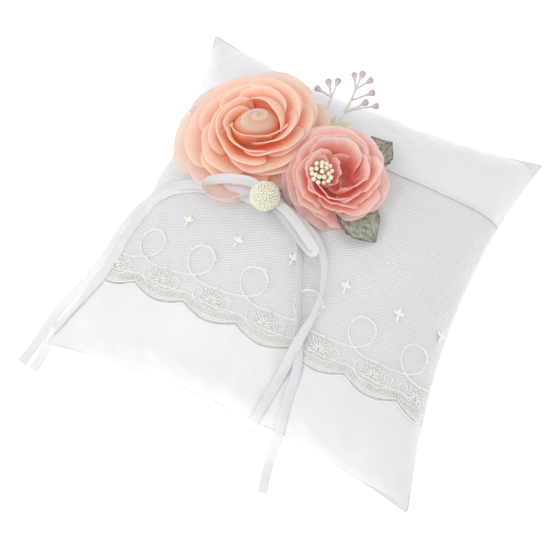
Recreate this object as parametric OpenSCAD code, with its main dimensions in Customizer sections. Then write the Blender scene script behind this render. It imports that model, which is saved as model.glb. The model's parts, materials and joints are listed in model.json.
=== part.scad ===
/* [Pillow] */
// Side of the square that the satin panels are sewn to, corner to corner
pillow_w = 200; // [170:5:240]
// How far the middle of each side is pulled in, as a share of half a side
side_pinch = 0.15; // [0.08:0.01:0.18]
// The same for the lower side, which is fuller
lower_pinch = 0.09; // [0.05:0.01:0.15]
// Height of the seam above the table, at the middle of a side
seam_h = 27; // [22:1:32]
// How much lower the seam is at the corners
corner_drop = 9; // [4:1:12]
// Height of the stuffed front above the seam
crown_h = 36; // [30:1:42]
// Thickness of a satin panel with its lining
panel_t = 1; // [0.8:0.1:1.4]

/* [Lace overlay] */
// Where the hem of the net lies, as a share of half the height
hem_v = 0.53; // [0.48:0.01:0.58]
// Distance of the scalloped edge below the middle
lace_edge_y = 56.5; // [54:0.5:60]
// Width of one scallop and of one repeat of the embroidery
lace_repeat = 27.4; // [26:0.1:27.6]

/* [Flowers] */
// Radius of the large rose
large_rose_r = 38; // [34:1:40]
// Radius of the small rose
small_rose_r = 27; // [24:1:29]
// Radius of the beaded ball's core
ball_core_r = 5.8; // [5:0.1:6.5]
// Radius of one bead
bead_r = 0.85; // [0.6:0.05:0.9]
// Number of beads on the ball
bead_count = 70; // [40:1:80]

/* [Ribbon] */
// Width of the satin ribbon
ribbon_w = 5; // [4:0.5:6]
// Thickness of the ribbon
ribbon_t = 0.8; // [0.6:0.1:1]

/* [Hidden] */

half = pillow_w / 2;
up = [0, 0, 1];
side_cells = 16;      // cells of the pillow's grid along a side
flat_share = 0.56;    // size of the part of the back that lies flat, against the whole
back_rings = 6;       // rings of the back from the seam to its flat part

// Places on the front, in plan
large_rose_at = [-42, 31];
small_rose_at = [5, 19];
ball_at = [-20, 1.2];
sprig_at = [-10, 44];
upper_leaf_at = [12, 33];
lower_leaf_at = [14, 15];

// Rings of petals: count, base radius and tip radius as shares of the rose's radius,
// base height, tip height, half angle of one petal, first angle
large_base = [8, 0.26, 1.00, 1.5, 5.5, 29, 0];
large_outer = [7, 0.24, 0.86, 4.0, 10.5, 32, 20];
large_middle = [6, 0.21, 0.68, 7.0, 15.5, 37, 5];
large_inner = [5, 0.18, 0.50, 9.5, 19.5, 44, 30];
large_bud = [4, 0.15, 0.31, 11.0, 22.5, 55, 10];
small_outer = [6, 0.24, 1.00, 1.5, 6.0, 36, 15];
small_middle = [6, 0.22, 0.80, 4.0, 10.0, 36, 40];
small_inner = [5, 0.20, 0.60, 6.5, 13.5, 42, 10];
small_heart = [5, 0.18, 0.42, 8.5, 16.0, 42, 45];

// Routes of the four ribbon tails, from the knot to the cut end
left_outer_route = [
    [-25, 2.5, 65], [-38, 3, 62.5], [-50, 1, 58.5], [-54, -0.5, 57], [-61, -2, 54.5],
    [-69, -5.5, 50.5], [-76, -11, 45.5], [-82, -17, 39], [-85.5, -25.5, 36], [-89.5, -34.5, 29],
    [-93.5, -44.5, 20], [-98, -54.5, 13], [-102.5, -64.5, 7.5], [-107, -75.5, 3.5],
    [-110, -86, 1.5], [-111, -96.5, 1], [-112, -105, 1], [-113.5, -114, 1]
];
left_inner_route = [
    [-25, 0, 64], [-38, 1, 61], [-50, -1, 57], [-60, -3.5, 53], [-68.5, -7.5, 49],
    [-75, -14, 45], [-79, -23.5, 41.5], [-81, -33.5, 40], [-82.5, -44, 38], [-84.5, -56, 35.5],
    [-88.5, -66.5, 31], [-93, -77, 26], [-97.5, -88, 21], [-102, -98, 11], [-104.5, -106.5, 3],
    [-106, -115, 1]
];
right_long_route = [
    [-14, 0, 65.5], [-7, -4, 65.5], [1, -10, 65.5], [7, -21.5, 64.5], [13, -36, 62.5],
    [19, -50, 59], [23, -58.5, 56], [25, -67.5, 52], [26.5, -81.5, 43], [28, -91.5, 30],
    [28.5, -99, 17], [29, -105, 6], [30, -112.5, 1], [32, -121, 1]
];
right_short_route = [
    [-14, 2, 67.5], [-6, 0, 67], [2, -3, 67], [8.5, -6.5, 66.5], [12.5, -10, 66],
    [17, -16, 65], [20.5, -26.5, 64], [21.5, -33.5, 63], [21.5, -41, 62], [20.5, -47.5, 61],
    [20, -53.5, 59.5], [19.5, -60, 57], [19, -66.5, 53], [18, -74, 47.5], [17, -81, 40.5],
    [15.5, -89, 29], [14, -96, 15]
];
left_loop_route = [
    [-24, 4, 67.5], [-29, 6, 69], [-36, 5, 69.5], [-43.5, 2.5, 68.5], [-49, -0.5, 67],
    [-51, -3.5, 65.5], [-49.5, -5.5, 65], [-46, -6.5, 65], [-39, -6, 66], [-32, -1, 67],
    [-25, 2, 67]
];
right_loop_route = [
    [-16, 3.5, 68], [-13.5, 1, 69.5], [-8, -1, 70], [-1, -5, 70], [4.5, -8.5, 69.5],
    [8.5, -11, 69], [10, -12.5, 68.5], [8.5, -13, 67.5], [3.5, -10.5, 67.5], [-2, -7, 68],
    [-9, -3, 68], [-15, 0, 67.5]
];

// ---------------------------------------------------------------- pillow surface

function unit(a) = a / norm(a);
function eased(i, n) = sin(90 * (2 * i / n - 1));

// Plan position of the panel's square coordinates u and v, each from -1 to 1
function pinch_at(v) = v < 0 ? lower_pinch : side_pinch;
function plan(u, v, h) =
    [h * u * (1 - side_pinch * (1 - v * v)), h * v * (1 - pinch_at(v) * (1 - u * u))];
function seam_z(u, v) = seam_h - corner_drop * u * u * v * v;
function crown(u, v) = sqrt(max(0, (1 - u * u) * (1 - v * v)));

function front(u, v, h = half, rise = crown_h, lift = 0) =
    let (p = plan(u, v, h)) [p.x, p.y, seam_z(u, v) + rise * crown(u, v) + lift];

// The back rolls in from the seam to a flat part that lies on the table
function back_z(u, v, base) =
    let (s = max(abs(u), abs(v), 0.001), q = max(0, (s - flat_share) / (1 - flat_share)))
    base + (seam_z(u / s, v / s) - base) * (1 - sqrt(1 - min(1, q * q)));

// Square coordinate u of a plan position
function u_at(x, y, u = 0, n = 14) = n == 0 ? u
    : let (v = v_from(u, y)) u_at(x, y, x / (half * (1 - side_pinch * (1 - v * v))), n - 1);
function v_from(u, y) = y / (half * (1 - pinch_at(y) * (1 - u * u)));
function top_z(x, y) = let (u = u_at(x, y)) front(u, v_from(u, y)).z;
function top_normal(x, y, d = 1) =
    unit([top_z(x - d, y) - top_z(x + d, y), top_z(x, y - d) - top_z(x, y + d), 2 * d]);

// Stands its children on the front at a plan position, square to the surface
module on_front(at, lift = 0, spin = 0) {
    n = top_normal(at.x, at.y);
    turn = atan2(n.y, n.x);
    translate([at.x, at.y, top_z(at.x, at.y)] + lift * n)
        rotate([0, acos(n.z), turn])
            rotate([0, 0, spin - turn])
                children();
}

// ---------------------------------------------------------------- building blocks

// A closed slab between two grids of points with the same rows and columns
module slab(upper, lower) {
    rows = len(upper);
    cols = len(upper[0]);
    count = rows * cols;
    cells = [for (i = [0:rows - 2], j = [0:cols - 2], k = [0, 1])
        let (a = i * cols + j, c = a + cols + 1) k == 0 ? [a, a + 1, c] : [a, c, a + cols]];
    rim = concat(
        [for (j = [0:cols - 1]) j],
        [for (i = [1:rows - 1]) i * cols + cols - 1],
        [for (j = [cols - 2:-1:0]) (rows - 1) * cols + j],
        [for (i = [rows - 2:-1:1]) i * cols]);
    edge = [for (k = [0:len(rim) - 1], s = [0, 1])
        let (a = rim[k], b = rim[(k + 1) % len(rim)])
        s == 0 ? [a, b, b + count] : [a, b + count, a + count]];
    polyhedron(
        concat([for (row = upper, p = row) p], [for (row = lower, p = row) p]),
        concat([for (f = cells) [f[2], f[1], f[0]]],
            [for (f = cells) [f[0] + count, f[1] + count, f[2] + count]], edge));
}

// Faces of a tube of rings, each ring running anticlockwise seen from above or ahead
function ring_faces(rings, size, start = 0) = [
    for (i = [0:rings - 2], j = [0:size - 1], k = [0, 1])
        let (a = start + i * size + j, b = start + i * size + (j + 1) % size)
        k == 0 ? [a, b, b + size] : [a, b + size, a + size]];
function flipped(faces) = [for (f = faces) [for (i = [len(f) - 1:-1:0]) f[i]]];

// A flat ribbon swept along points; stand is 1 where it runs on its edge
module ribbon(route, stand = 0, sides = 8) {
    last = len(route) - 1;
    rings = [for (i = [0:last])
        let (ahead = unit(route[min(last, i + 1)] - route[max(0, i - 1)]),
            across = unit(stand == 1 ? up - (up * ahead) * ahead : cross(ahead, up)),
            over = cross(across, ahead))
        [for (j = [0:sides - 1]) let (a = 360 * (j + 0.5) / sides)
            route[i] + ribbon_w / 2 * cos(a) / cos(180 / sides) * across
                + ribbon_t / 2 * sin(a) / cos(180 / sides) * over]];
    polyhedron(
        [for (ring = rings, p = ring) p],
        concat(flipped(ring_faces(last + 1, sides)),
            [[for (j = [0:sides - 1]) j]],
            [[for (j = [sides - 1:-1:0]) last * sides + j]]));
}

// A round wire swept along points
module wire(route, r, sides = 8) {
    last = len(route) - 1;
    rings = [for (i = [0:last])
        let (ahead = unit(route[min(last, i + 1)] - route[max(0, i - 1)]),
            across = unit(cross(ahead, [0.1, 0.2, 1])),
            over = cross(across, ahead))
        [for (j = [0:sides - 1]) let (a = 360 * j / sides)
            route[i] + r * (cos(a) * across + sin(a) * over)]];
    polyhedron(
        [for (ring = rings, p = ring) p],
        concat(flipped(ring_faces(last + 1, sides)),
            [[for (j = [0:sides - 1]) j]],
            [[for (j = [sides - 1:-1:0]) last * sides + j]]));
}

// ---------------------------------------------------------------- satin pillow

module satin_front_panel() {
    color("white") slab(
        [for (i = [0:side_cells]) [for (j = [0:side_cells])
            front(eased(j, side_cells), eased(i, side_cells))]],
        [for (i = [0:side_cells]) [for (j = [0:side_cells])
            front(eased(j, side_cells), eased(i, side_cells), half - panel_t, crown_h - panel_t)]]);
}

// One corner-to-corner loop of square coordinates, anticlockwise seen from above
function square_loop() = [
    for (side = [0:3], i = [0:side_cells - 1])
        let (f = eased(i, side_cells))
        side == 0 ? [f, -1] : side == 1 ? [1, f] : side == 2 ? [-f, 1] : [-1, -f]];
function back_ring(k, h, base) = let (s = flat_share + (1 - flat_share) * cos(90 * k / back_rings))
    [for (p = square_loop())
        let (at = plan(s * p.x, s * p.y, h))
        [at.x, at.y, k == back_rings ? base
            : base + (seam_z(p.x, p.y) - base) * (1 - sin(90 * k / back_rings))]];

module satin_back_panel() {
    size = 4 * side_cells;
    inner = (back_rings + 1) * size;
    points = concat(
        [for (k = [0:back_rings], p = back_ring(k, half, 0)) p],
        [for (k = [0:back_rings], p = back_ring(k, half - panel_t, panel_t)) p]);
    rim = [for (j = [0:size - 1], k = [0, 1]) let (n = (j + 1) % size)
        k == 0 ? [j + inner, n + inner, n] : [j + inner, n, j]];
    color("white") polyhedron(points, concat(
        ring_faces(back_rings + 1, size),
        [[for (j = [0:size - 1]) back_rings * size + j]],
        flipped(ring_faces(back_rings + 1, size, inner)),
        [[for (j = [size - 1:-1:0]) inner + back_rings * size + j]],
        rim));
}

module fibre_filling() {
    h = half - panel_t - 2;
    rim_t = 1;
    base = panel_t + 0.5;
    color("whitesmoke") slab(
        [for (i = [0:side_cells]) [for (j = [0:side_cells])
            front(eased(j, side_cells), eased(i, side_cells), h, crown_h - panel_t - 1.5, rim_t / 2)]],
        [for (i = [0:side_cells]) [for (j = [0:side_cells])
            let (u = eased(j, side_cells), v = eased(i, side_cells), p = plan(u, v, h))
            [p.x, p.y, max(base, back_z(u, v, base) - rim_t / 2)]]]);
}

// Hand-sewn stitches that close the opening the filling went in by
module closing_stitches() {
    stitch_gap = 5;
    for (i = [-6:6]) {
        u = i * stitch_gap / half;
        at = front(u, -1);
        color("white") translate([at.x, at.y - 0.3, at.z])
            rotate([0, 30, 0]) cylinder(h = 3.4, r = 0.25, center = true, $fn = 16);
    }
}

// ---------------------------------------------------------------- net and lace

net_lift = 0.3;
net_t = 0.4;
trim_t = 0.5;
hem_w = 3;
border_w = 10;
first_loop_x = -65;

// Point of the front at square coordinate u and plan height y
function strip_point(u, y, lift) = front(u, v_from(u, y), half, crown_h, lift);
function hem_y(u) = hem_v * half * (1 - side_pinch * (1 - u * u));
scallop_depth = 4;
function scallop(x) = scallop_depth * abs(sin(180 * (x - first_loop_x) / lace_repeat));

// Plan x of a motif k repeats after the first loop, kept clear of the side seam
function motif_x(k) = min(first_loop_x + lace_repeat * k, 0.82 * half);

module tulle_overlay() {
    rows = 7;
    function net_point(i, j, lift) = let (u = eased(j, side_cells))
        strip_point(u, -lace_edge_y + (hem_y(u) + lace_edge_y) * i / rows, lift);
    color("ivory", 0.5) slab(
        [for (i = [0:rows]) [for (j = [0:side_cells]) net_point(i, j, net_lift + net_t)]],
        [for (i = [0:rows]) [for (j = [0:side_cells]) net_point(i, j, net_lift)]]);
}

module overlay_hem_tape() {
    low = net_lift + net_t + 0.1;
    color("ivory") slab(
        [for (i = [0, 1]) [for (j = [0:side_cells]) let (u = 0.995 * eased(j, side_cells))
            strip_point(u, hem_y(u) - hem_w * (1 - i), low + trim_t)]],
        [for (i = [0, 1]) [for (j = [0:side_cells]) let (u = 0.995 * eased(j, side_cells))
            strip_point(u, hem_y(u) - hem_w * (1 - i), low)]]);
}

module lace_scallop_border() {
    low = net_lift + net_t + 0.1;
    cols = 72;
    reach = 0.96;
    function border_point(i, j, lift) = let (
        u = reach * (2 * j / cols - 1),
        x = strip_point(u, -lace_edge_y, 0).x,
        y = i == 0 ? -lace_edge_y - scallop(x) : -lace_edge_y + border_w * i / 2)
        strip_point(u, y, lift);
    color("ivory") slab(
        [for (i = [0:2]) [for (j = [0:cols]) border_point(i, j, low + trim_t)]],
        [for (i = [0:2]) [for (j = [0:cols]) border_point(i, j, low)]]);
}

// A pointed leaf outline between two arcs, from the origin along +Y
module leaf_outline(length, width) {
    r = (length * length + width * width) / (4 * width);
    intersection_for (side = [-1, 1])
        translate([side * (r - width / 2), length / 2]) circle(r = r, $fn = 48);
}

motif_lift = net_lift + net_t + 0.1;

module lace_loop_motifs() {
    loop_r = 5;
    for (k = [0:5])
        color("ivory") on_front([motif_x(k), -35], motif_lift + 0.5) {
            rotate_extrude($fn = 36) translate([loop_r, 0]) circle(r = 0.5, $fn = 16);
            for (side = [-1, 1])
                translate([side * 4.2, -8.4, 0])
                    rotate_extrude($fn = 24) translate([2.6, 0]) circle(r = 0.45, $fn = 16);
        }
}

module lace_tassel_motifs() {
    for (k = [0:6])
        color("ivory") on_front([motif_x(k - 0.55), -47], motif_lift)
            for (turn = [-40, 0, 40])
                rotate([0, 0, turn]) translate([0, 0.9, 0])
                    linear_extrude(trim_t) leaf_outline(6.5, 2.2);
}

module net_sprigs() {
    for (k = [0:5])
        color("ivory") on_front([motif_x(k + 0.45), -20], motif_lift)
            for (turn = [-55, 0, 55])
                rotate([0, 0, turn]) translate([0, 0.8, 0])
                    linear_extrude(trim_t) leaf_outline(3.6, 1.7);
}

// ---------------------------------------------------------------- roses

felt_t = 1.2;
felt_lift = 1.2;
petal_t = 0.5;
petal_lap = 0.9;      // how far one edge of a petal rises over its neighbour
petal_lift = felt_lift + felt_t;

// One point of a petal: a runs across it from -1 to 1 and b from its base to its tip
function petal_point(ring, rose_r, turn, a, b, under) = let (
    inner = ring[1] * rose_r,
    reach = ring[2] * rose_r * (1 - 0.22 * pow(a, 4)),
    r = inner + (reach - inner) * b,
    angle = turn + ring[5] * a * (0.6 + 0.4 * b),
    slope = atan2(ring[4] - ring[3], ring[2] * rose_r - inner),
    z = ring[3] + (ring[4] - ring[3]) * sin(75 * b) - 0.8 * pow(b, 4),
    raised = petal_lap * a - under * petal_t,
    out = r - raised * sin(slope))
    [out * cos(angle), out * sin(angle), z + raised * cos(slope)];

module petal_ring(ring, rose_r, tint) {
    across = 5;
    along = 3;
    for (k = [0:ring[0] - 1]) {
        turn = ring[6] + 360 * k / ring[0];
        color(tint) slab(
            [for (i = [0:across]) [for (j = [0:along])
                petal_point(ring, rose_r, turn, 2 * i / across - 1, j / along, 0)]],
            [for (i = [0:across]) [for (j = [0:along])
                petal_point(ring, rose_r, turn, 2 * i / across - 1, j / along, 1)]]);
    }
}

module on_large_rose() on_front(large_rose_at, petal_lift) children();
module on_small_rose() on_front(small_rose_at, petal_lift + 2) children();

module large_rose_felt() {
    color("seashell") on_front(large_rose_at, felt_lift)
        cylinder(h = felt_t, r = 0.5 * large_rose_r, $fn = 64);
}

// The rolled strip that the first petals are wrapped on
module large_rose_bud_core() {
    color("darksalmon") on_large_rose()
        rotate_extrude($fn = 48)
            polygon([[0, 0], [4.4, 0], [4.2, 8], [3.6, 16], [2.4, 20.5], [0, 21.5]]);
}

module large_rose_bud_petals() { on_large_rose() petal_ring(large_bud, large_rose_r, "darksalmon"); }
module large_rose_inner_petals() { on_large_rose() petal_ring(large_inner, large_rose_r, "lightsalmon"); }
module large_rose_middle_petals() { on_large_rose() petal_ring(large_middle, large_rose_r, "lightsalmon"); }
module large_rose_outer_petals() { on_large_rose() petal_ring(large_outer, large_rose_r, "peachpuff"); }
module large_rose_base_petals() { on_large_rose() petal_ring(large_base, large_rose_r, "peachpuff"); }

module small_rose_felt() {
    color("seashell") on_front(small_rose_at, felt_lift)
        cylinder(h = felt_t + 2, r = 0.4 * small_rose_r, $fn = 64);
}
module small_rose_heart_petals() { on_small_rose() petal_ring(small_heart, small_rose_r, "salmon"); }
module small_rose_inner_petals() { on_small_rose() petal_ring(small_inner, small_rose_r, "salmon"); }
module small_rose_middle_petals() { on_small_rose() petal_ring(small_middle, small_rose_r, "lightcoral"); }
module small_rose_outer_petals() { on_small_rose() petal_ring(small_outer, small_rose_r, "lightcoral"); }

// A splayed bunch of threads, each with a round head, in two rings about one in the middle
stamen_h = 14;
function stamen(k) = k == 0 ? [0, 0] : k < 8 ? [9, 360 * k / 7] : [17, 360 * k / 12];

module stamen_threads() {
    on_small_rose() for (k = [0:19]) color("khaki")
        rotate([0, stamen(k)[0], stamen(k)[1]]) translate([0, 0, 1])
            cylinder(h = stamen_h - 1.8, r = 0.22, $fn = 16);
}

module stamen_heads() {
    on_small_rose() for (k = [0:19]) color("lemonchiffon")
        rotate([0, stamen(k)[0], stamen(k)[1]]) translate([0, 0, stamen_h])
            sphere(r = 0.95, $fn = 24);
}

// ---------------------------------------------------------------- leaves

leaf_l = 25;
leaf_w = 19;
leaf_t = 0.5;

// Height of a leaf above its base plane: folded along the midrib and bent down at the tip
function leaf_point(a, b, under) = let (w = leaf_w / 2 * pow(sin(180 * (0.06 + 0.9 * b)), 0.8))
    [a * w, leaf_l * b, 2 + 2.2 * abs(a) * w / leaf_w * 2 - 3 * b * b - under * leaf_t];

module leaf() {
    slab(
        [for (i = [0:8]) [for (j = [0:4]) leaf_point(j / 2 - 1, i / 8, 0)]],
        [for (i = [0:8]) [for (j = [0:4]) leaf_point(j / 2 - 1, i / 8, 1)]]);
}
module at_upper_leaf() on_front(upper_leaf_at, 1.5, -25) children();
module at_lower_leaf() on_front(lower_leaf_at, 1.5, -118) children();

module leaf_upper() { color("darkseagreen") at_upper_leaf() leaf(); }
module leaf_lower() { color("darkseagreen") at_lower_leaf() leaf(); }

// Thin wires glued under the midribs, which carry on under the rose
module leaf_wires() {
    route = [for (i = [-2:6]) let (b = i / 8)
        [0, leaf_l * b, 1.1 - 3 * max(0, b) * b]];
    color("olivedrab") at_upper_leaf() wire(route, 0.35);
    color("olivedrab") at_lower_leaf() wire(route, 0.35);
}

// ---------------------------------------------------------------- sprig

sprig_forks = [
    [[-1.4, 4, 4], [-5, 11, 7], [-11, 17, 9]],
    [[-1, 7, 5.5], [-2.5, 14, 8], [-5, 21, 10]],
    [[0.8, 8, 6], [3, 18, 9], [5, 28, 12]],
    [[2.2, 6.5, 5], [7, 15, 8], [13, 23, 10]],
    [[2.2, 4, 4], [9, 11, 6], [17, 16, 8]]
];
bud_r = 1.45;
bud_spread = 44;

module sprig_stem() {
    color("yellowgreen") on_front(sprig_at, 3) wire([[0, -10, 0], [0, -4, 0.5], [0, 1, 2], [0.5, 6, 5]], 0.7);
}

module sprig_branches() {
    on_front(sprig_at, 3) for (fork = sprig_forks)
        color("yellowgreen") wire(fork, 0.45);
}

// Club-shaped buds, two or three at the end of each branch
module sprig_buds() {
    on_front(sprig_at, 3) for (fork = sprig_forks, k = [0:1]) {
        tip = fork[2] + [0, 0.8, 0.2];
        lean = atan2(fork[2].y - fork[1].y, fork[2].x - fork[1].x);
        color("thistle") translate(tip) rotate([0, 0, lean + bud_spread * (2 * k - 1)])
            translate([2.6, 0, 0]) rotate([0, 80, 0]) rotate_extrude($fn = 32)
                polygon([[0, -2], [0.5, -1.6], [bud_r * 0.7, 1], [bud_r, 2.8],
                    [bud_r * 0.8, 4.2], [0.5, 5], [0, 5.1]]);
    }
}

// Small soft leaflets about the foot of the sprig
module sprig_foliage() {
    on_front(sprig_at, 2.5) for (k = [0:6])
        color("palegoldenrod") rotate([0, 0, 46 * k - 40]) translate([0, 3, 1 + 0.7 * (k % 3)])
            rotate([24, 0, 0]) linear_extrude(0.6) leaf_outline(9, 3.4);
}

// ---------------------------------------------------------------- bow and bead ball

knot_h = 3;

module ribbon_knot() {
    color("white") on_front(ball_at, 1.3)
        rotate_extrude($fn = 48)
            polygon([[0, 0], [4, 0], [4.8, 0.8], [4.8, 2.2], [4, knot_h], [0, knot_h]]);
}
module bow_loop_left() { color("white") ribbon(left_loop_route, 1); }
module bow_loop_right() { color("white") ribbon(right_loop_route, 1); }

// The stitch that holds the knot down through net and satin
module bow_tacking_stitch() {
    color("white") on_front(ball_at, -3) for (side = [-1, 1])
        translate([1.5 * side, 0, 0]) cylinder(h = 4.2, r = 0.25, $fn = 16);
}

ball_lift = 1.3 + knot_h + ball_core_r;

module bead_ball_core() {
    color("ivory") on_front(ball_at, ball_lift) sphere(r = ball_core_r, $fn = 64);
}

// Beads spaced evenly over the core on a golden-angle spiral
module bead_ball_beads() {
    ring_r = ball_core_r + bead_r + 0.02;
    on_front(ball_at, ball_lift) for (i = [0:bead_count - 1]) {
        level = 1 - 1.86 * (i + 0.5) / bead_count;
        color("ivory") rotate([0, 0, 137.508 * i])
            translate([ring_r * sqrt(1 - level * level), 0, ring_r * level])
                sphere(r = bead_r, $fn = 24);
    }
}

module tail_left_outer() { color("white") ribbon(left_outer_route); }
module tail_left_inner() { color("white") ribbon(left_inner_route); }
module tail_right_long() { color("white") ribbon(right_long_route); }
module tail_right_short() { color("white") ribbon(right_short_route); }

satin_front_panel();
satin_back_panel();
fibre_filling();
closing_stitches();
tulle_overlay();
overlay_hem_tape();
lace_scallop_border();
lace_loop_motifs();
lace_tassel_motifs();
net_sprigs();
large_rose_felt();
large_rose_bud_core();
large_rose_bud_petals();
large_rose_inner_petals();
large_rose_middle_petals();
large_rose_outer_petals();
large_rose_base_petals();
small_rose_felt();
small_rose_heart_petals();
small_rose_inner_petals();
small_rose_middle_petals();
small_rose_outer_petals();
stamen_threads();
stamen_heads();
leaf_upper();
leaf_lower();
leaf_wires();
sprig_stem();
sprig_branches();
sprig_buds();
sprig_foliage();
ribbon_knot();
bow_loop_left();
bow_loop_right();
bow_tacking_stitch();
bead_ball_core();
bead_ball_beads();
tail_left_outer();
tail_left_inner();
tail_right_long();
tail_right_short();
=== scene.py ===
import json
import math

import bpy
import numpy as np
from mathutils import Matrix, Vector

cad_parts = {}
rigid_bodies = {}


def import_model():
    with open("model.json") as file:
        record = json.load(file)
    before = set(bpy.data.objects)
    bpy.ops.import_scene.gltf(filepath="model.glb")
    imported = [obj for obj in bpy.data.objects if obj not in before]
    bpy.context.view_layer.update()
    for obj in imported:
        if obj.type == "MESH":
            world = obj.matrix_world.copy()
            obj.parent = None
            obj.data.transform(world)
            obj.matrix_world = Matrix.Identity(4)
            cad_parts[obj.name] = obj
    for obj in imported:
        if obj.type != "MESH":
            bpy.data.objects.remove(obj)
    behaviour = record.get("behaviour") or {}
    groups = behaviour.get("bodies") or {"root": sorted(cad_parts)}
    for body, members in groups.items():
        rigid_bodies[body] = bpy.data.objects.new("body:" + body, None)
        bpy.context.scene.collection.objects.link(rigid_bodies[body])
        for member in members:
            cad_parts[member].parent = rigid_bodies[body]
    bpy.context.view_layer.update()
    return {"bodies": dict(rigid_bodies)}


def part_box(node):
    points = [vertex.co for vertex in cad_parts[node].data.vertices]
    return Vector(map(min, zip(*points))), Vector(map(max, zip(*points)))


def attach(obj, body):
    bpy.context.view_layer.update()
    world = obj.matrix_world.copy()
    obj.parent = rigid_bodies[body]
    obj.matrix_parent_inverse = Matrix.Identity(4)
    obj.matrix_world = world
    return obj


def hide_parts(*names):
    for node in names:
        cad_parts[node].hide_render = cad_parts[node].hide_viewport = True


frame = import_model()

MM = 0.001
UP = np.array([0.0, 0.0, 1.0])
BODY = next(iter(frame["bodies"]))
rng = np.random.default_rng(7)

# ------------------------------------------------------------------ sizes read from the frame

front_low, front_high = (np.array(c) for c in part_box("satin_front_panel"))
seam_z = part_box("satin_back_panel")[1].z          # height of the seam at the middle of a side
HALF = front_high[0]                              # half of the pillow's side
CORNER_DROP = seam_z - front_low[2]
CROWN = front_high[2] - seam_z
PINCH = 0.15                                      # how far a side pulls in at its middle
LOWER_PINCH = 0.09                                # the lower side is fuller


def unit(a):
    return a / np.maximum(np.linalg.norm(a, axis=-1, keepdims=True), 1e-12)


def joined(*parts):
    """Points, or places on a map, from arrays of their coordinates."""
    return np.stack(np.broadcast_arrays(*parts), axis=-1)


def turned(x, y, angle):
    """Plan points turned about the origin by an angle in radians."""
    c, s = math.cos(angle), math.sin(angle)
    return x * c - y * s, x * s + y * c


def square_to(along, a):
    """a's part at right angles to along, as unit vectors."""
    return unit(a - np.sum(a * along, axis=1, keepdims=True) * along)


def run_of(path):
    """Distance from a path's start to each of its points."""
    return np.concatenate([[0], np.cumsum(np.linalg.norm(np.diff(path, axis=0), axis=1))])


def smooth_step(t):
    t = np.clip(t, 0, 1)
    return t * t * (3 - 2 * t)


# ------------------------------------------------------------------ camera and light

def rgb(red, green, blue):
    """A colour seen on a screen, 0 to 255, as the linear values that nodes take."""
    return tuple(c / 12.92 if c <= 0.04045 else ((c + 0.055) / 1.055) ** 2.4
                 for c in (red / 255, green / 255, blue / 255))


def look(azimuth, elevation, roll, distance, target, lens):
    """The photograph's camera, aimed at target from azimuth and elevation in degrees."""
    a, e, r = (math.radians(x) for x in (azimuth, elevation, roll))
    back = np.array([math.sin(a) * math.cos(e), -math.cos(a) * math.cos(e), math.sin(e)])
    right = unit(np.cross(UP, back))
    above = np.cross(back, right)
    sideways = math.cos(r) * right + math.sin(r) * above
    upward = math.cos(r) * above - math.sin(r) * right
    data = bpy.data.cameras.new("camera")
    data.lens = lens
    data.sensor_width = 36
    data.clip_start = 0.01
    camera = bpy.data.objects.new("camera", data)
    bpy.context.scene.collection.objects.link(camera)
    at = Matrix(np.column_stack([sideways, upward, back]).tolist()).to_4x4()
    at.translation = Vector(np.array(target) + distance * back)
    camera.matrix_world = at
    bpy.context.scene.camera = camera


def area_light(name, at, aim, size, power, tint=(1, 1, 1)):
    data = bpy.data.lights.new(name, "AREA")
    data.shape = "DISK"
    data.size = size
    data.energy = power
    data.color = tint
    lamp = bpy.data.objects.new(name, data)
    bpy.context.scene.collection.objects.link(lamp)
    lamp.location = at
    lamp.rotation_euler = (Vector(aim) - Vector(at)).to_track_quat("-Z", "Y").to_euler()


def studio():
    scene = bpy.context.scene
    scene.view_settings.view_transform = "Standard"
    world = bpy.data.worlds.new("studio")
    world.use_nodes = True
    sky = world.node_tree.nodes["Background"]
    sky.inputs["Color"].default_value = (1, 1, 1, 1)
    sky.inputs["Strength"].default_value = 0.72
    scene.world = world
    area_light("key", (-0.45, -0.55, 0.85), (0, 0, 0.03), 0.6, 2.9, (1, 0.995, 0.985))
    area_light("fill", (0.6, 0.7, 0.7), (0, 0, 0.03), 0.9, 1.2, (0.96, 0.97, 1))
    bpy.ops.mesh.primitive_plane_add(size=6, location=(0, 0, -0.0002))
    floor = bpy.context.object
    floor.name = "floor"
    f = Finish("floor_white", 0.9)
    f.shade(Base_Color=f.ramp(f.add("TexNoise", "Fac", Scale=3),
                              [(0.3, (0.93, 0.93, 0.93)), (0.7, (0.95, 0.95, 0.95))]),
            Emission_Color=(1, 1, 1, 1), Emission_Strength=0.5)
    floor.data.materials.append(f.material)


# ------------------------------------------------------------------ materials

BANDS_AT_ONE = 3.183        # bands that a wave texture of scale 1 puts into one unit
SATIN_THREAD = 0.35 * MM
THREAD_RELIEF = 0.02 * MM
# Painted light: petals glow with an emission in their own colour, for the light through their cloth and
# into the shade between them.
PAINTED_PETAL_GLOW = 0.08        # glow of a petal, for the light that comes through its cloth


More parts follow.
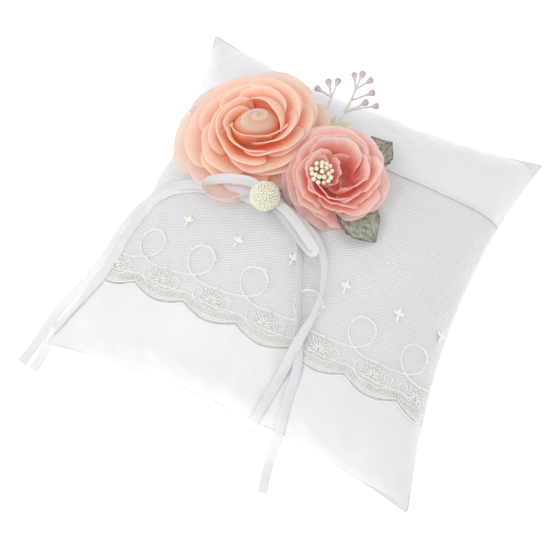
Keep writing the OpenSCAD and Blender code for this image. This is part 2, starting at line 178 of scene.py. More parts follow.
class Finish:
    """A material on one Principled shader. Its methods add nodes and give back their outputs."""

    def __init__(self, name, roughness, sheen=0.0, sheen_roughness=0.5):
        self.material = bpy.data.materials.new(name)
        self.material.use_nodes = True
        self.tree = self.material.node_tree
        self.shader = self.tree.nodes["Principled BSDF"]
        self.shade(Roughness=roughness, Sheen_Weight=sheen, Sheen_Roughness=sheen_roughness)

    def put(self, socket, value):
        """Links value where it is another node's output, and sets it where it is a constant."""
        if isinstance(value, bpy.types.NodeSocket):
            self.tree.links.new(value, socket)
        else:
            socket.default_value = value

    def shade(self, **inputs):
        """Fills the shader's inputs. An underscore stands for the space in a socket's name."""
        for name, value in inputs.items():
            self.put(self.shader.inputs[name.replace("_", " ")], value)

    def add(self, kind, output, **inputs):
        node = self.tree.nodes.new("ShaderNode" + kind)
        for name, value in inputs.items():
            self.put(node.inputs[name.replace("_", " ")], value)
        return node.outputs[output]

    def uv(self):
        return self.add("UVMap", "UV")

    def parts(self, source):
        """X and Y of source."""
        node = self.tree.nodes.new("ShaderNodeSeparateXYZ")
        self.put(node.inputs["Vector"], source)
        return node.outputs["X"], node.outputs["Y"]

    def stretched(self, source, scale, turn=0.0):
        """source's coordinates scaled, in one over metres, and turned about Z in degrees."""
        return self.add("Mapping", "Vector", Vector=source, Scale=scale,
                        Rotation=(0, 0, math.radians(turn)))

    def noise(self, source, scale, detail=3.0):
        return self.add("TexNoise", "Fac", Vector=source, Scale=scale, Detail=detail)

    def bands(self, source, scale, turn=0.0):
        """Soft parallel threads: scale of them to one unit of source."""
        return self.add("TexWave", "Fac", Vector=self.stretched(source, (1, 1, 1), turn),
                        Scale=scale / BANDS_AT_ONE)

    def maths(self, operation, a, b=0):
        node = self.tree.nodes.new("ShaderNodeMath")
        node.operation = operation
        self.put(node.inputs[0], a)
        self.put(node.inputs[1], b)
        return node.outputs["Value"]

    def plus(self, a, b, share=1):
        """a with share of b added."""
        return self.maths("ADD", a, b if share == 1 else self.maths("MULTIPLY", b, share))

    def ramp(self, factor, stops):
        node = self.tree.nodes.new("ShaderNodeValToRGB")
        elements = node.color_ramp.elements
        while len(elements) < len(stops):
            elements.new(0.5)
        for element, (place, colour) in zip(elements, stops):
            element.position = place
            element.color = (*colour, 1)
        self.put(node.inputs["Fac"], factor)
        return node.outputs["Color"]

    def spread(self, factor, low, high, start=0.0):
        """low to high as factor goes from start to 1."""
        return self.add("MapRange", "Result", Value=factor, From_Min=start, To_Min=low, To_Max=high)

    def bump(self, height, distance, strength=1.0):
        self.shade(Normal=self.add("Bump", "Normal", Height=height, Distance=distance,
                                   Strength=strength))


def satin(name, low, high):
    """Satin cloth: UV is in metres on the flat cloth. Long floats run one way over a finer weft."""
    f = Finish(name, 0.4, 0.25, 0.4)
    uv = f.uv()
    slub = f.noise(f.stretched(uv, (90, 2200, 1)), 1, 2)
    f.bump(f.plus(slub, f.bands(uv, 1 / SATIN_THREAD, 3), 0.35), 0.03 * MM)
    f.shade(Base_Color=f.ramp(f.noise(uv, 30, 2), [(0.3, low), (0.7, high)]),
            Roughness=f.spread(slub, 0.34, 0.46), Anisotropic=0.35, Specular_IOR_Level=0.45)
    return f.material


def net_cloth(name, colour, hole, low_alpha, high_alpha, glow=0.0):
    """Sheer net: three sets of threads cross at 60 degrees and leave the holes open.

    glow stands for the light that its threads pass on to each other.
    """
    f = Finish(name, 0.75, 0.3, 0.5)
    uv = f.uv()
    sets = [f.bands(uv, 1 / hole, turn) for turn in (12, 72, 132)]
    thread = f.maths("POWER", f.maths("MAXIMUM", f.maths("MAXIMUM", sets[0], sets[1]), sets[2]), 5)
    tone = f.ramp(f.noise(uv, 60, 2), [(0.35, tuple(0.97 * c for c in colour)), (0.65, colour)])
    f.bump(thread, THREAD_RELIEF)
    f.shade(Base_Color=tone, Alpha=f.spread(thread, low_alpha, high_alpha),
            Emission_Color=tone, Emission_Strength=glow)
    return f.material


def thread_work(name, low, high, pitch=0.6 * MM, glow=0.0):
    """Embroidery or sewing thread: U runs along the stitching and V across it, in metres."""
    f = Finish(name, 0.5, 0.3, 0.4)
    uv = f.uv()
    fuzz = f.noise(uv, 900, 2)
    tone = f.ramp(fuzz, [(0.25, low), (0.8, high)])
    f.bump(f.plus(f.bands(uv, 1 / pitch, 25), fuzz), THREAD_RELIEF)
    # glow is painted light: an emission in the thread's own colour, for the light that white threads
    # pass on to each other
    f.shade(Base_Color=tone, Emission_Color=tone, Emission_Strength=glow,
            Roughness=f.spread(fuzz, 0.4, 0.62))
    return f.material


def petal_cloth(name, deep, mid, pale, weave, gauze=0.0, glow=0.5):
    """Dyed petal cloth: V runs from the petal's base at 0 to its lip at 1, and U across it. Its colour
    is deep at the base and pale at the lip: painted shade where the petals cover each other, and a
    painted highlight on the lip.
    """
    f = Finish(name, 0.65, 0.1, 0.4)
    uv = f.uv()
    streaks = f.noise(f.stretched(uv, (22, 2.5, 1)), 1, 3)
    shade = f.plus(f.parts(uv)[1], f.maths("SUBTRACT", streaks, 0.5), 0.2)
    # painted shade and highlight: the colour runs from deep at the base to pale at the lip
    tone = f.ramp(shade, [(0.4, deep), (0.74, mid), (0.98, pale)])
    fibres = f.plus(f.bands(uv, weave, 90), f.bands(uv, weave))
    f.bump(f.plus(streaks, fibres, 0.15), 0.25 * MM, 0.5)
    # the emission is painted light: the petal glows in its own colour
    f.shade(Base_Color=tone, Emission_Color=tone, Emission_Strength=PAINTED_PETAL_GLOW,
            Roughness=f.spread(streaks, 0.5, 0.75), Subsurface_Weight=glow,
            Subsurface_Radius=(1.0, 0.5, 0.35), Subsurface_Scale=5 * MM)
    if gauze:
        f.shade(Alpha=f.spread(shade, 1.0, 1.0 - gauze, start=0.45))
    return f.material


def mottled(name, low, high, scale, roughness=0.6, relief=0.3 * MM, glow=0.0):
    """Small plastic or printed pieces: two tones in soft patches, in object coordinates."""
    f = Finish(name, roughness, 0.15, 0.5)
    place = f.add("TexCoord", "Object")
    patches = f.noise(place, scale, 4)
    f.bump(f.noise(place, scale * 6, 2), relief)
    f.shade(Base_Color=f.ramp(patches, [(0.35, low), (0.65, high)]),
            Roughness=f.spread(patches, roughness - 0.12, roughness + 0.1),
            Subsurface_Weight=glow, Subsurface_Scale=2 * MM)
    return f.material


def ribbon_satin(name):
    """Satin ribbon: V runs along it in metres and U across it, with a firm edge on each side."""
    f = Finish(name, 0.3, 0.2, 0.3)
    uv = f.uv()
    edge = f.maths("GREATER_THAN", f.maths("ABSOLUTE", f.parts(uv)[0]), RIBBON_EDGE)
    floats = f.noise(f.stretched(uv, (5200, 160, 1)), 1, 2)
    f.bump(f.plus(f.plus(floats, f.bands(uv, 2600, 90), 0.3), edge), 0.04 * MM)
    # thin enough for what lies below it to show a little
    f.shade(Base_Color=f.ramp(f.plus(floats, edge, -0.15),
                              [(0.25, rgb(242, 242, 246)), (0.75, rgb(252, 252, 254))]),
            Roughness=f.spread(floats, 0.26, 0.4), Anisotropic=0.5, Alpha=0.8)
    return f.material


def bud_skin(name):
    """Plastic bud: U runs from its neck to its end, pale at the neck and dusty mauve beyond."""
    f = Finish(name, 0.55, 0.3, 0.5)
    patches = f.noise(f.add("TexCoord", "Object"), 420)
    shade = f.plus(f.parts(f.uv())[0], f.maths("SUBTRACT", patches, 0.5), 0.35)
    f.bump(patches, 0.3 * MM)
    f.shade(Base_Color=f.ramp(shade, [(0.05, rgb(226, 222, 212)), (0.35, rgb(218, 204, 210)),
                                      (0.8, rgb(198, 176, 188))]),
            Roughness=f.spread(patches, 0.45, 0.65))
    return f.material


def leaf_cloth(name):
    """Printed leaf: V runs along the leaf, U across it from -1 to 1."""
    f = Finish(name, 0.6, 0.2, 0.5)
    uv = f.uv()
    across, along = f.parts(uv)
    side = f.maths("ABSOLUTE", across)
    patches = f.noise(f.stretched(uv, (3, 5, 1)), 1.6, 5)
    tone = f.ramp(patches, [(0.3, rgb(116, 126, 112)), (0.44, rgb(158, 164, 146)),
                            (0.58, rgb(196, 194, 176)), (0.74, rgb(220, 208, 188))])
    edge = f.ramp(side, [(0.8, (1, 1, 1)), (0.98, (0.42, 0.46, 0.45))])
    mix = f.tree.nodes.new("ShaderNodeMix")
    mix.data_type = "RGBA"
    mix.blend_type = "MULTIPLY"
    for place, value in ((0, 1), (6, tone), (7, edge)):      # the colour mix's factor, A and B
        f.put(mix.inputs[place], value)
    veins = f.maths("SINE", f.maths("MULTIPLY", f.plus(along, side, -0.35), 55))
    f.bump(f.plus(veins, patches), 0.3 * MM)
    f.shade(Base_Color=mix.outputs[2], Roughness=f.spread(patches, 0.45, 0.75))
    return f.material


# ------------------------------------------------------------------ mesh building

class Piece:
    """Collects grids, tubes and balls, and makes one object of them."""

    def __init__(self):
        self.points, self.faces, self.uvs = [], [], []

    def grid(self, points, uv, wrap=False, flip=False):
        """points and uv are arrays of rows by columns; wrap closes each row on itself."""
        rows, cols = points.shape[:2]
        start = len(self.points)
        self.points.extend(points.reshape(-1, 3).tolist())
        flat_uv = uv.reshape(-1, 2).tolist()
        for i in range(rows - 1):
            for j in range(cols if wrap else cols - 1):
                k = (j + 1) % cols
                cell = [i * cols + j, i * cols + k, (i + 1) * cols + k, (i + 1) * cols + j]
                if flip:
                    cell.reverse()
                self.faces.append([start + c for c in cell])
                self.uvs.append([flat_uv[c] for c in cell])
        return start

    def cap(self, ring, uv, flip=False):
        ring = list(ring)[::-1] if flip else list(ring)
        self.faces.append(ring)
        self.uvs.append([uv] * len(ring))

    def tube(self, path, radius, sides=8, caps=True, flat=None, across=None, u_scale=1.0):
        """A round tube, or a flat one where flat is its thickness and across its width's direction."""
        path = np.asarray(path, float)
        along = unit(np.gradient(path, axis=0))
        if across is None:
            side = unit(np.cross(along, np.array([0.13, 0.21, 1.0])))
        else:
            side = square_to(along, across)
        over = np.cross(along, side)
        turn = 2 * np.pi * (np.arange(sides) + 0.5) / sides
        radius = np.broadcast_to(np.asarray(radius, float), len(path))
        depth = radius if flat is None else np.full(len(path), flat / 2)
        ring = (np.cos(turn)[None, :, None] * (radius[:, None, None] * side[:, None, :])
                + np.sin(turn)[None, :, None] * (depth[:, None, None] * over[:, None, :]))
        uv = joined(run_of(path)[:, None] * u_scale, 2 * radius[:, None] * np.sin(turn / 2)[None, :])
        start = self.grid(path[:, None, :] + ring, uv, wrap=True)
        if caps:
            last = start + (len(path) - 1) * sides
            self.cap(range(start, start + sides), (0, 0), flip=True)
            self.cap(range(last, last + sides), (0, 0))

    def ball(self, at, radius, rings=6, sides=8, stretch=1.0, axis=UP):
        axis = unit(np.asarray(axis, float))
        side = unit(np.cross(axis, np.array([0.31, 0.77, 0.2])))
        over = np.cross(axis, side)
        level = np.pi * np.arange(1, rings) / rings
        turn = 2 * np.pi * np.arange(sides) / sides
        points = (np.cos(level)[:, None, None] * axis * stretch
                  + np.sin(level)[:, None, None]
                  * (np.cos(turn)[None, :, None] * side + np.sin(turn)[None, :, None] * over))
        uv = joined(turn[None, :], level[:, None])
        start = self.grid(np.asarray(at) + radius * points, uv, wrap=True, flip=True)
        for pole, row in ((1, 0), (-1, rings - 2)):
            tip = len(self.points)
            self.points.append((np.asarray(at) + radius * stretch * pole * axis).tolist())
            for j in range(sides):
                a, b = start + row * sides + j, start + row * sides + (j + 1) % sides
                self.faces.append([tip, a, b] if pole > 0 else [tip, b, a])
                self.uvs.append([(0, 0)] * 3)

    def make(self, name, material, smooth=True):
        mesh = bpy.data.meshes.new(name)
        mesh.from_pydata(self.points, [], self.faces)
        layer = mesh.uv_layers.new(name="UVMap")
        corners = [c for face in self.uvs for c in face]
        layer.data.foreach_set("uv", np.array(corners, np.float32).ravel())
        mesh.polygons.foreach_set("use_smooth", [smooth] * len(mesh.polygons))
        mesh.materials.append(material)
        mesh.update()
        piece = bpy.data.objects.new(name, mesh)
        bpy.context.scene.collection.objects.link(piece)
        return piece


def thicken(piece, thickness, levels=0, offset=-1.0):
    if levels:
        fine = piece.modifiers.new("fine", "SUBSURF")
        fine.levels = fine.render_levels = levels
    skin = piece.modifiers.new("skin", "SOLIDIFY")
    skin.thickness = thickness
    skin.offset = offset


def settle(piece, slot, *nodes):
    """Every piece rides on the pillow and stands for its CAD nodes. slot is not used."""
    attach(piece, BODY)
    if nodes:
        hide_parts(*nodes)
    return piece


def smooth_path(points, steps=8):
    """A Catmull-Rom curve through the points."""
    p = np.asarray(points, float)
    p = np.vstack([2 * p[0] - p[1], p, 2 * p[-1] - p[-2]])
    t = np.linspace(0, 1, steps, endpoint=False)[:, None]
    spans = [0.5 * (2 * p[i] + (p[i + 1] - p[i - 1]) * t
                    + (2 * p[i - 1] - 5 * p[i] + 4 * p[i + 1] - p[i + 2]) * t ** 2
                    + (3 * p[i] - p[i - 1] - 3 * p[i + 1] + p[i + 2]) * t ** 3)
             for i in range(1, len(p) - 2)]
    return np.vstack([*spans, p[-2:-1]])


# ------------------------------------------------------------------ the stuffed pillow

CELLS = 64                 # cells of each panel along a side
CUT = 1.035                # side of the flat cloth against the finished pillow
SIM_FRAMES = 14
PRESSURE = 3.2
PUCKER = 0.9 * MM


def cover_rest():
    """Points of the two panels before filling, their places on the flat cloth, and the faces."""
    t = np.linspace(-1, 1, CELLS + 1)
    u, v = np.meshgrid(t, t)
    rim = (np.abs(u) == 1) | (np.abs(v) == 1)
    x = HALF * u * (1 - PINCH * (1 - v ** 2))
    y = HALF * v * (1 - PINCH * (1 - u ** 2))
    rise = 0.8 * CROWN * ((1 - u ** 2) * (1 - v ** 2)) ** 0.75
    number = np.arange(u.size).reshape(u.shape)
    under = number.copy()
    under[~rim] = u.size + np.arange((~rim).sum())
    points, flat = [], []
    for side in (1, -1):
        uneven = rng.normal(0, 0.3 * MM, u.shape) * ~rim
        full = np.stack([x, y, side * rise + uneven], axis=-1)
        cut = np.stack([HALF * CUT * u, HALF * CUT * v, side * 0.1 * MM * ~rim], axis=-1)
        keep = np.ones_like(rim) if side > 0 else ~rim
        points.append(full[keep])
        flat.append(cut[keep])
    faces = []
    for ids, flip in ((number, False), (under, True)):
        for i in range(CELLS):
            for j in range(CELLS):
                cell = [ids[i, j], ids[i, j + 1], ids[i + 1, j + 1], ids[i + 1, j]]
                faces.append([int(c) for c in (cell[::-1] if flip else cell)])
    return np.vstack(points), np.vstack(flat), faces, number, under


def fit_outline(points, number, under):
    """Brings the seam to the pillow's outline and keeps the small puckers on it."""
    t = np.linspace(-1, 1, CELLS + 1)
    for axis, sides in ((0, (number[:, 0], number[:, -1])), (1, (number[0], number[-1]))):
        for ids, sign in zip(sides, (-1, 1)):
            pinch = LOWER_PINCH if axis == 1 and sign < 0 else PINCH
            want = HALF * (1 - pinch * (1 - t ** 2))
            ratio = want / (sign * points[ids, axis])
            smooth = np.polyval(np.polyfit(t, ratio, 6), t)
            for grid in (number, under):
                rows = grid if axis == 0 else grid.T
                flat = rows.ravel()
                fit = np.repeat(smooth, CELLS + 1)
                own = sign * points[flat, axis] > 0
                first = np.unique(flat[own], return_index=True)[1]
                chosen, by = flat[own][first], fit[own][first]
                if grid is under:
                    keep = ~np.isin(chosen, number)
                    chosen, by = chosen[keep], by[keep]
                points[chosen, axis] *= by


def puckered(grid, side):
    """Gathers the cloth in small folds that run in from the seams, and keeps the seams in place."""
    t = np.linspace(-1, 1, CELLS + 1)
    u, v = np.meshgrid(t, t)
    normal = side * unit(np.cross(np.gradient(grid, axis=1), np.gradient(grid, axis=0)))
    lift = np.zeros_like(u)
    for inward, along in ((1 - u, v), (1 + u, v), (1 - v, u), (1 + v, u)):
        gap, run = HALF * inward, HALF * along
        folds = sum(share * np.sin(2 * np.pi * run / (length * MM) + rng.uniform(0, 6.3))
                    for share, length in ((0.4, 14), (0.5, 22), (0.6, 39)))
        lift += folds * np.exp(-(gap / (17 * MM)) ** 2) * (1 - np.exp(-gap / (4 * MM)))
    clear = smooth_step(grid[..., 2] / (15 * MM))     # none where the back rests on the table
    return grid + (PUCKER * lift * clear)[..., None] * normal


def stuffed():
    """The two panels, sewn at the rim and swollen by the filling, as grids of points."""
    points, flat, faces, number, under = cover_rest()
    mesh = bpy.data.meshes.new("cover")
    mesh.from_pydata(points.tolist(), [], faces)
    cover = bpy.data.objects.new("cover", mesh)
    bpy.context.scene.collection.objects.link(cover)
    cover.shape_key_add(name="full")
    cut = cover.shape_key_add(name="cut")
    cut.data.foreach_set("co", flat.ravel())
    cloth = cover.modifiers.new("cloth", "CLOTH")
    s = cloth.settings
    s.quality = 6
    s.mass = 0.15
    s.use_pressure = True
    s.uniform_pressure_force = PRESSURE
    s.effector_weights.gravity = 0
    s.tension_stiffness = s.compression_stiffness = 12
    s.shear_stiffness = 4
    s.bending_stiffness = 0.05
    s.tension_damping = s.compression_damping = 8
    s.shear_damping = 5
    s.air_damping = 3
    s.rest_shape_key = cut
    for f in range(1, SIM_FRAMES + 1):
        bpy.context.scene.frame_set(f)
    swollen = cover.evaluated_get(bpy.context.evaluated_depsgraph_get())
    moved = np.zeros(len(points) * 3)
    swollen.data.vertices.foreach_get("co", moved)
    points = moved.reshape(-1, 3)
    bpy.data.objects.remove(cover)
    bpy.context.scene.frame_set(1)
    fit_outline(points, number, under)
    points[:, 2] *= CROWN / points[:, 2].max()
    droop = (points[:, 0] / HALF) ** 2 * (points[:, 1] / HALF) ** 2
    points[:, 2] += seam_z - CORNER_DROP * droop
    rounding = 3 * MM                             # how softly the back turns on to the table
    reach = 12 * MM                               # how far up from the table that goes
    low = points[:, 2] < reach
    settled = 0.5 * (points[:, 2] + np.sqrt(points[:, 2] ** 2 + rounding ** 2))
    share = np.clip((reach - points[:, 2]) / (reach / 2), 0, 1)
    points[:, 2] = np.where(low, (1 - share) * points[:, 2] + share * settled, points[:, 2])
    return puckered(points[number], 1), puckered(points[under], -1)


front, back = stuffed()


def sample(grid, u, v):
    """Point of a panel at cloth coordinates u and v from -1 to 1, between its grid's points."""
    s = np.clip((np.asarray(u, float) + 1) / 2 * CELLS, 0, CELLS - 1e-6)
    t = np.clip((np.asarray(v, float) + 1) / 2 * CELLS, 0, CELLS - 1e-6)
    j, i = s.astype(int), t.astype(int)
    a, b = (s - j)[..., None], (t - i)[..., None]
    return ((1 - b) * ((1 - a) * grid[i, j] + a * grid[i, j + 1])
            + b * ((1 - a) * grid[i + 1, j] + a * grid[i + 1, j + 1]))


d_row, d_col = np.gradient(front, axis=0), np.gradient(front, axis=1)
front_normal = unit(np.cross(d_col, d_row))


def cloth_place(x, y):
    """Cloth coordinates of the front's point over plan position x, y."""
    x, y = np.asarray(x, float), np.asarray(y, float)
    u, v = x / HALF, y / HALF
    for _ in range(40):
        at = sample(front, u, v)
        u = np.clip(u + (x - at[..., 0]) / HALF, -1, 1)
        v = np.clip(v + (y - at[..., 1]) / HALF, -1, 1)
    return u, v


def on_cloth(u, v, lift=0.0):
    return sample(front, u, v) + np.asarray(lift)[..., None] * unit(sample(front_normal, u, v))


def on_front(x, y, lift=0.0):
    """Point above the front at a plan position, raised by lift along the cloth's normal."""
    return on_cloth(*cloth_place(x, y), lift)


# ------------------------------------------------------------------ places on the front

def rotation_to(n):
    """The smallest turn that takes up to n, as a matrix of columns."""
    n = unit(np.asarray(n, float))
    axis = np.cross(UP, n)
    s, c = np.linalg.norm(axis), n[2]
    if s < 1e-9:
        return np.eye(3)
    k = axis / s
    cross = np.array([[0, -k[2], k[1]], [k[2], 0, -k[0]], [-k[1], k[0], 0]])
    return np.eye(3) + s * cross + (1 - c) * cross @ cross


class Place:
    """A spot on the front with its own axes: Z stands on the cloth, X and Y lie along it."""

    def __init__(self, x, y, lift=0.0, spin=0.0, lean=(0.0, 0.0)):
        spot = sample(front, *cloth_place(x, y))
        normal = unit(sum(sample(front_normal, *cloth_place(x + dx, y + dy))
                          for dx in (-8 * MM, 0, 8 * MM) for dy in (-8 * MM, 0, 8 * MM)))
        turn = math.radians(spin)
        spun = np.array([[math.cos(turn), -math.sin(turn), 0], [math.sin(turn), math.cos(turn), 0],
                         [0, 0, 1]])
        self.axes = rotation_to(normal + np.array([*lean, 0])) @ spun
        self.origin = spot + lift * normal

    def __call__(self, local):
        return np.asarray(local, float) @ self.axes.T + self.origin


def clear_of_front(path, gap):
    """Raises a path to lie at least gap above the front wherever it passes over it."""
    u, v = cloth_place(path[:, 0], path[:, 1])
    below = sample(front, u, v)
    over = np.linalg.norm(below[:, :2] - path[:, :2], axis=1) < 1.5 * MM
    raised = path.copy()
    raised[:, 2] = np.where(over, np.maximum(path[:, 2], below[:, 2] + gap), path[:, 2])
    return raised


# ------------------------------------------------------------------ net and lace

EDGE_Y = -56.5 * MM         # notches of the scalloped edge
SCALLOP = 4 * MM            # how far a scallop reaches below its notches
REPEAT = 27.4 * MM
FIRST_LOOP = -65 * MM
LOOP_Y = -35 * MM
NET_LIFT = 0.3 * MM
LACE_LIFT = 0.5 * MM
HEM_SIDE_Y = 53 * MM        # plan y of the net's hem at the pillow's sides
HEM_WIDTH = 1.6 * MM
SPRAY_Y = -50.5 * MM        # row of leaf sprays, just above the border
SPRIG_Y = -19.5 * MM        # row of small sprigs, above the loops
BETWEEN_LOOPS = 0.45        # of a repeat, from a loop to the spray and the sprig beside it
LAST_SPRAY = 80 * MM
SEAM_U = 0.985              # cloth coordinate, either way, where the net goes into the seam


def hem_line(u):
    """Plan y of the net's hem at cloth coordinate u: it follows the pinched cloth's threads."""
    return HEM_SIDE_Y * (1 - PINCH * (1 - u ** 2))


def edge_line(x):
    return EDGE_Y - SCALLOP * np.abs(np.sin(np.pi * (x - FIRST_LOOP) / REPEAT))


def strip(u, y, lift):
    """Point above the front at cloth coordinate u and plan height y."""
    u, y = np.broadcast_arrays(np.asarray(u, float), np.asarray(y, float))
    v = y / HALF
    for _ in range(12):
        v = v + (y - sample(front, u, v)[..., 1]) / HALF
    return on_cloth(u, v, lift)


def net_slack(x, y):
    """Soft folds of the net between the sides it is sewn into, in metres."""
    sag = np.exp(-((y + 28 * MM + 0.06 * x) / (3.2 * MM)) ** 2) * np.exp(-(x / (52 * MM)) ** 4)
    pulls = sum(a * np.sin(x / (w * MM) + y / (t * MM) + p)
                for a, w, t, p in ((0.22, 9.3, 31, 0.4), (0.16, 5.1, -23, 2.1), (0.1, 3.3, 17, 4.0)))
    free = np.clip((0.097 - np.abs(x)) / 0.02, 0, 1) * np.clip((y + 62 * MM) / (14 * MM), 0.1, 1)
    return MM * (1.1 * sag + 0.35 + pulls) * free


def lace_path(x, y, lift=LACE_LIFT):
    """Stitching laid over the net through plan points."""
    x, y = np.asarray(x, float), np.asarray(y, float)
    return on_front(x, y, lift + np.maximum(net_slack(x, y), 0))


LOOP_STROKE = np.array([  # one repeat of the looping line, about the middle of its loop
    (-13.7, -9.4), (-9.5, -9.6), (-4.5, -8.9), (0.6, -7.4), (4.9, -4.2), (6.4, 0.4), (4.6, 4.6),
    (0.4, 6.6), (-4.1, 5.2), (-6.4, 1.2), (-5.6, -3.4), (-2.4, -7.0), (2.4, -9.3), (8.2, -10.0),
    (13.7, -9.4)]) * MM


def between_seams(x, y):
    return np.abs(cloth_place(x, y)[0]) < SEAM_U


def stitched_line(piece, x, y, radius, sides=5):
    piece.tube(lace_path(x, y), radius, sides=sides)


def drop(centre_x, centre_y, turn, reach, width, start=0.0):
    """A narrow pointed loop of thread that leaves its centre at angle turn and comes back."""
    t = np.linspace(0, 2 * np.pi, 19)
    along = start + (reach - start) * (1 - np.cos(t)) / 2
    side = width / 2 * np.sin(t) * np.sin(np.pi * np.clip((1 - np.cos(t)) / 2, 0.02, 1)) ** 0.35
    x, y = turned(along, side, turn)
    return centre_x + x, centre_y + y


def filled_lobe(piece, x, y, turn, reach, width):
    """A satin-stitched lobe: a low rounded leaf of thread from x, y at angle turn."""
    t = np.linspace(0, 1, 9)[:, None]
    side = np.linspace(-1, 1, 7)[None, :]
    breadth = width / 2 * np.sin(np.pi * (0.06 + 0.9 * t)) ** 0.8
    along, off = reach * t + 0 * side, breadth * side
    top = LACE_LIFT + 0.45 * MM * (1 - side ** 2) * np.sin(np.pi * (0.05 + 0.9 * t)) ** 0.5
    px, py = turned(along, off, turn)
    px, py = x + px, y + py
    points = on_front(px, py, top + np.maximum(net_slack(px, py), 0))
    piece.grid(points, joined(off * 40, along))


def make_overlay():
    # the net's grey colour is painted shade: it stands in for the shade the net casts on itself and on
    # the satin below it
    net = net_cloth("tulle_net", (0.80, 0.80, 0.80), 0.8 * MM, 0.18, 0.34)
    sheet = Piece()
    u = np.linspace(-1, 1, 121)[None, :]
    t = np.linspace(0, 1, 91)[:, None]
    top = hem_line(u)
    x_edge = sample(front, u, np.full_like(u, -0.6))[..., 0]
    low = edge_line(x_edge)
    y = low + (top - low) * t
    x = strip(u, y, 0 * y)[..., 0]
    points = strip(u, y, NET_LIFT + np.maximum(net_slack(x, y), 0))
    sheet.grid(points, joined(u * HALF * CUT, y))
    tulle = settle(sheet.make("tulle", net), "net", "tulle_overlay")

    hem = Piece()
    u = np.linspace(-0.998, 0.998, 161)[None, :]
    t = np.linspace(0, 1, 5)[:, None]
    y = hem_line(u) - HEM_WIDTH * (1 - t)
    x = strip(u, y, 0 * y)[..., 0]
    points = strip(u, y, NET_LIFT + 0.1 * MM + np.maximum(net_slack(x, y), 0)
                   + 0.15 * MM * np.sin(np.pi * t))
    hem.grid(points, joined(y, u * HALF))
    tape = hem.make("hem_fold", thread_work("hem_fold_net", rgb(234, 231, 220), rgb(244, 242, 236),
                                            1.1 * MM))
    thicken(tape, 0.15 * MM)
    settle(tape, "hem_tape", "overlay_hem_tape")


def make_lace():
    # the lace's thread and ground glow a little: painted light, for the light that white threads pass on
    # to each other
    thread = thread_work("lace_thread", rgb(246, 244, 236), rgb(255, 254, 250), glow=0.06)
    dense = net_cloth("lace_ground", (0.985, 0.98, 0.96), 0.7 * MM, 0.16, 0.5, glow=0.16)
    ground = Piece()
    cols = 321
    x = np.linspace(-88, 88, cols)[None, :] * MM
    t = np.linspace(0, 1, 7)[:, None]
    y = edge_line(x) + 6.2 * MM * t
    y = np.minimum(y, EDGE_Y + 5.6 * MM)
    side = np.sign(x) * np.abs(sample(front, SEAM_U + 0 * x * y, y / HALF)[..., 0])
    x = np.where(between_seams(x + 0 * y, y), x + 0 * y, side)
    ground.grid(lace_path(x, y, LACE_LIFT - 0.1 * MM), np.stack([x, y], axis=-1))
    settle(ground.make("border_ground", dense), "lace")
    cords = Piece()
    for inset, radius, low, high in ((0.0, 0.32, -86, 85), (1.7, 0.26, -86, 85), (5.4, 0.26, -86, 84)):
        x = np.linspace(low, high, 340) * MM
        soften = 0.35 if inset > 5 else 1.0
        y = EDGE_Y + (edge_line(x) - EDGE_Y) * soften + inset * MM
        stitched_line(cords, x, y, radius * MM)
    x = np.linspace(-86, 85, 341) * MM
    zig = 0.85 * MM + 0.8 * MM * np.where(np.arange(341) % 2, 1, -1)
    stitched_line(cords, x, edge_line(x) + zig, 0.2 * MM, sides=4)
    x = np.linspace(-86, 85, 229) * MM
    mid = EDGE_Y + (edge_line(x) - EDGE_Y) * 0.7 + 3.5 * MM
    stitched_line(cords, x, mid + 1.5 * MM * np.where(np.arange(229) % 2, 1, -1), 0.17 * MM, sides=4)
    settle(cords.make("border_stitching", thread), "lace", "lace_scallop_border")

    loops = Piece()
    for k in range(6):
        middle = FIRST_LOOP + REPEAT * k
        stroke = smooth_path(LOOP_STROKE + (middle, LOOP_Y), 6)
        inside = between_seams(stroke[:, 0], stroke[:, 1])
        for shift in (0, 0.55 * MM):
            stitched_line(loops, stroke[inside, 0], stroke[inside, 1] + shift, 0.24 * MM)
        for turn in np.radians((20, 65, 110, 155, 200)):
            x, y = middle + 6.6 * MM * math.cos(turn), LOOP_Y + 6.8 * MM * math.sin(turn)
            stitched_line(loops, *drop(x, y, turn, 1.5 * MM, 0.9 * MM), 0.16 * MM, sides=4)
    settle(loops.make("loop_stitching", thread), "lace", "lace_loop_motifs")

    sprays = Piece()
    for k in range(-1, 6):
        middle = min(FIRST_LOOP + REPEAT * (k + BETWEEN_LOOPS), LAST_SPRAY)
        for j, turn in enumerate(np.radians(np.linspace(-28, 208, 11))):
            reach = (6.4 if j % 2 else 5.0) * MM
            x, y = drop(middle, SPRAY_Y, turn, reach, 1.5 * MM, 0.8 * MM)
            if between_seams(x, y).all():
                stitched_line(sprays, x, y, 0.2 * MM, sides=4)
        for side in (-1, 1):
            curl = smooth_path(np.array([(0, -3.5), (4.5, -3.8), (8.6, -1.6), (9.6, 2.0), (7.4, 3.8),
                                         (5.4, 2.0), (6.6, 0.2)]) * (side * MM, MM)
                               + (middle, SPRAY_Y), 5)
            if between_seams(curl[:, 0], curl[:, 1]).all():
                stitched_line(sprays, curl[:, 0], curl[:, 1], 0.24 * MM)
    settle(sprays.make("spray_stitching", thread), "lace", "lace_tassel_motifs")

    sprigs = Piece()
    for k in range(6):
        x = min(FIRST_LOOP + REPEAT * (k + BETWEEN_LOOPS), LAST_SPRAY)
        y = SPRIG_Y - 1.3 * MM * math.sin(2.2 * k)
        for turn, reach, width in ((90, 3.4, 1.9), (28, 3.2, 1.8), (152, 3.2, 1.8), (268, 3.6, 1.3)):
            filled_lobe(sprigs, x, y, math.radians(turn + 6 * math.sin(5 * k)), reach * MM, width * MM)
    settle(sprigs.make("sprig_stitching", thread), "lace", "net_sprigs")


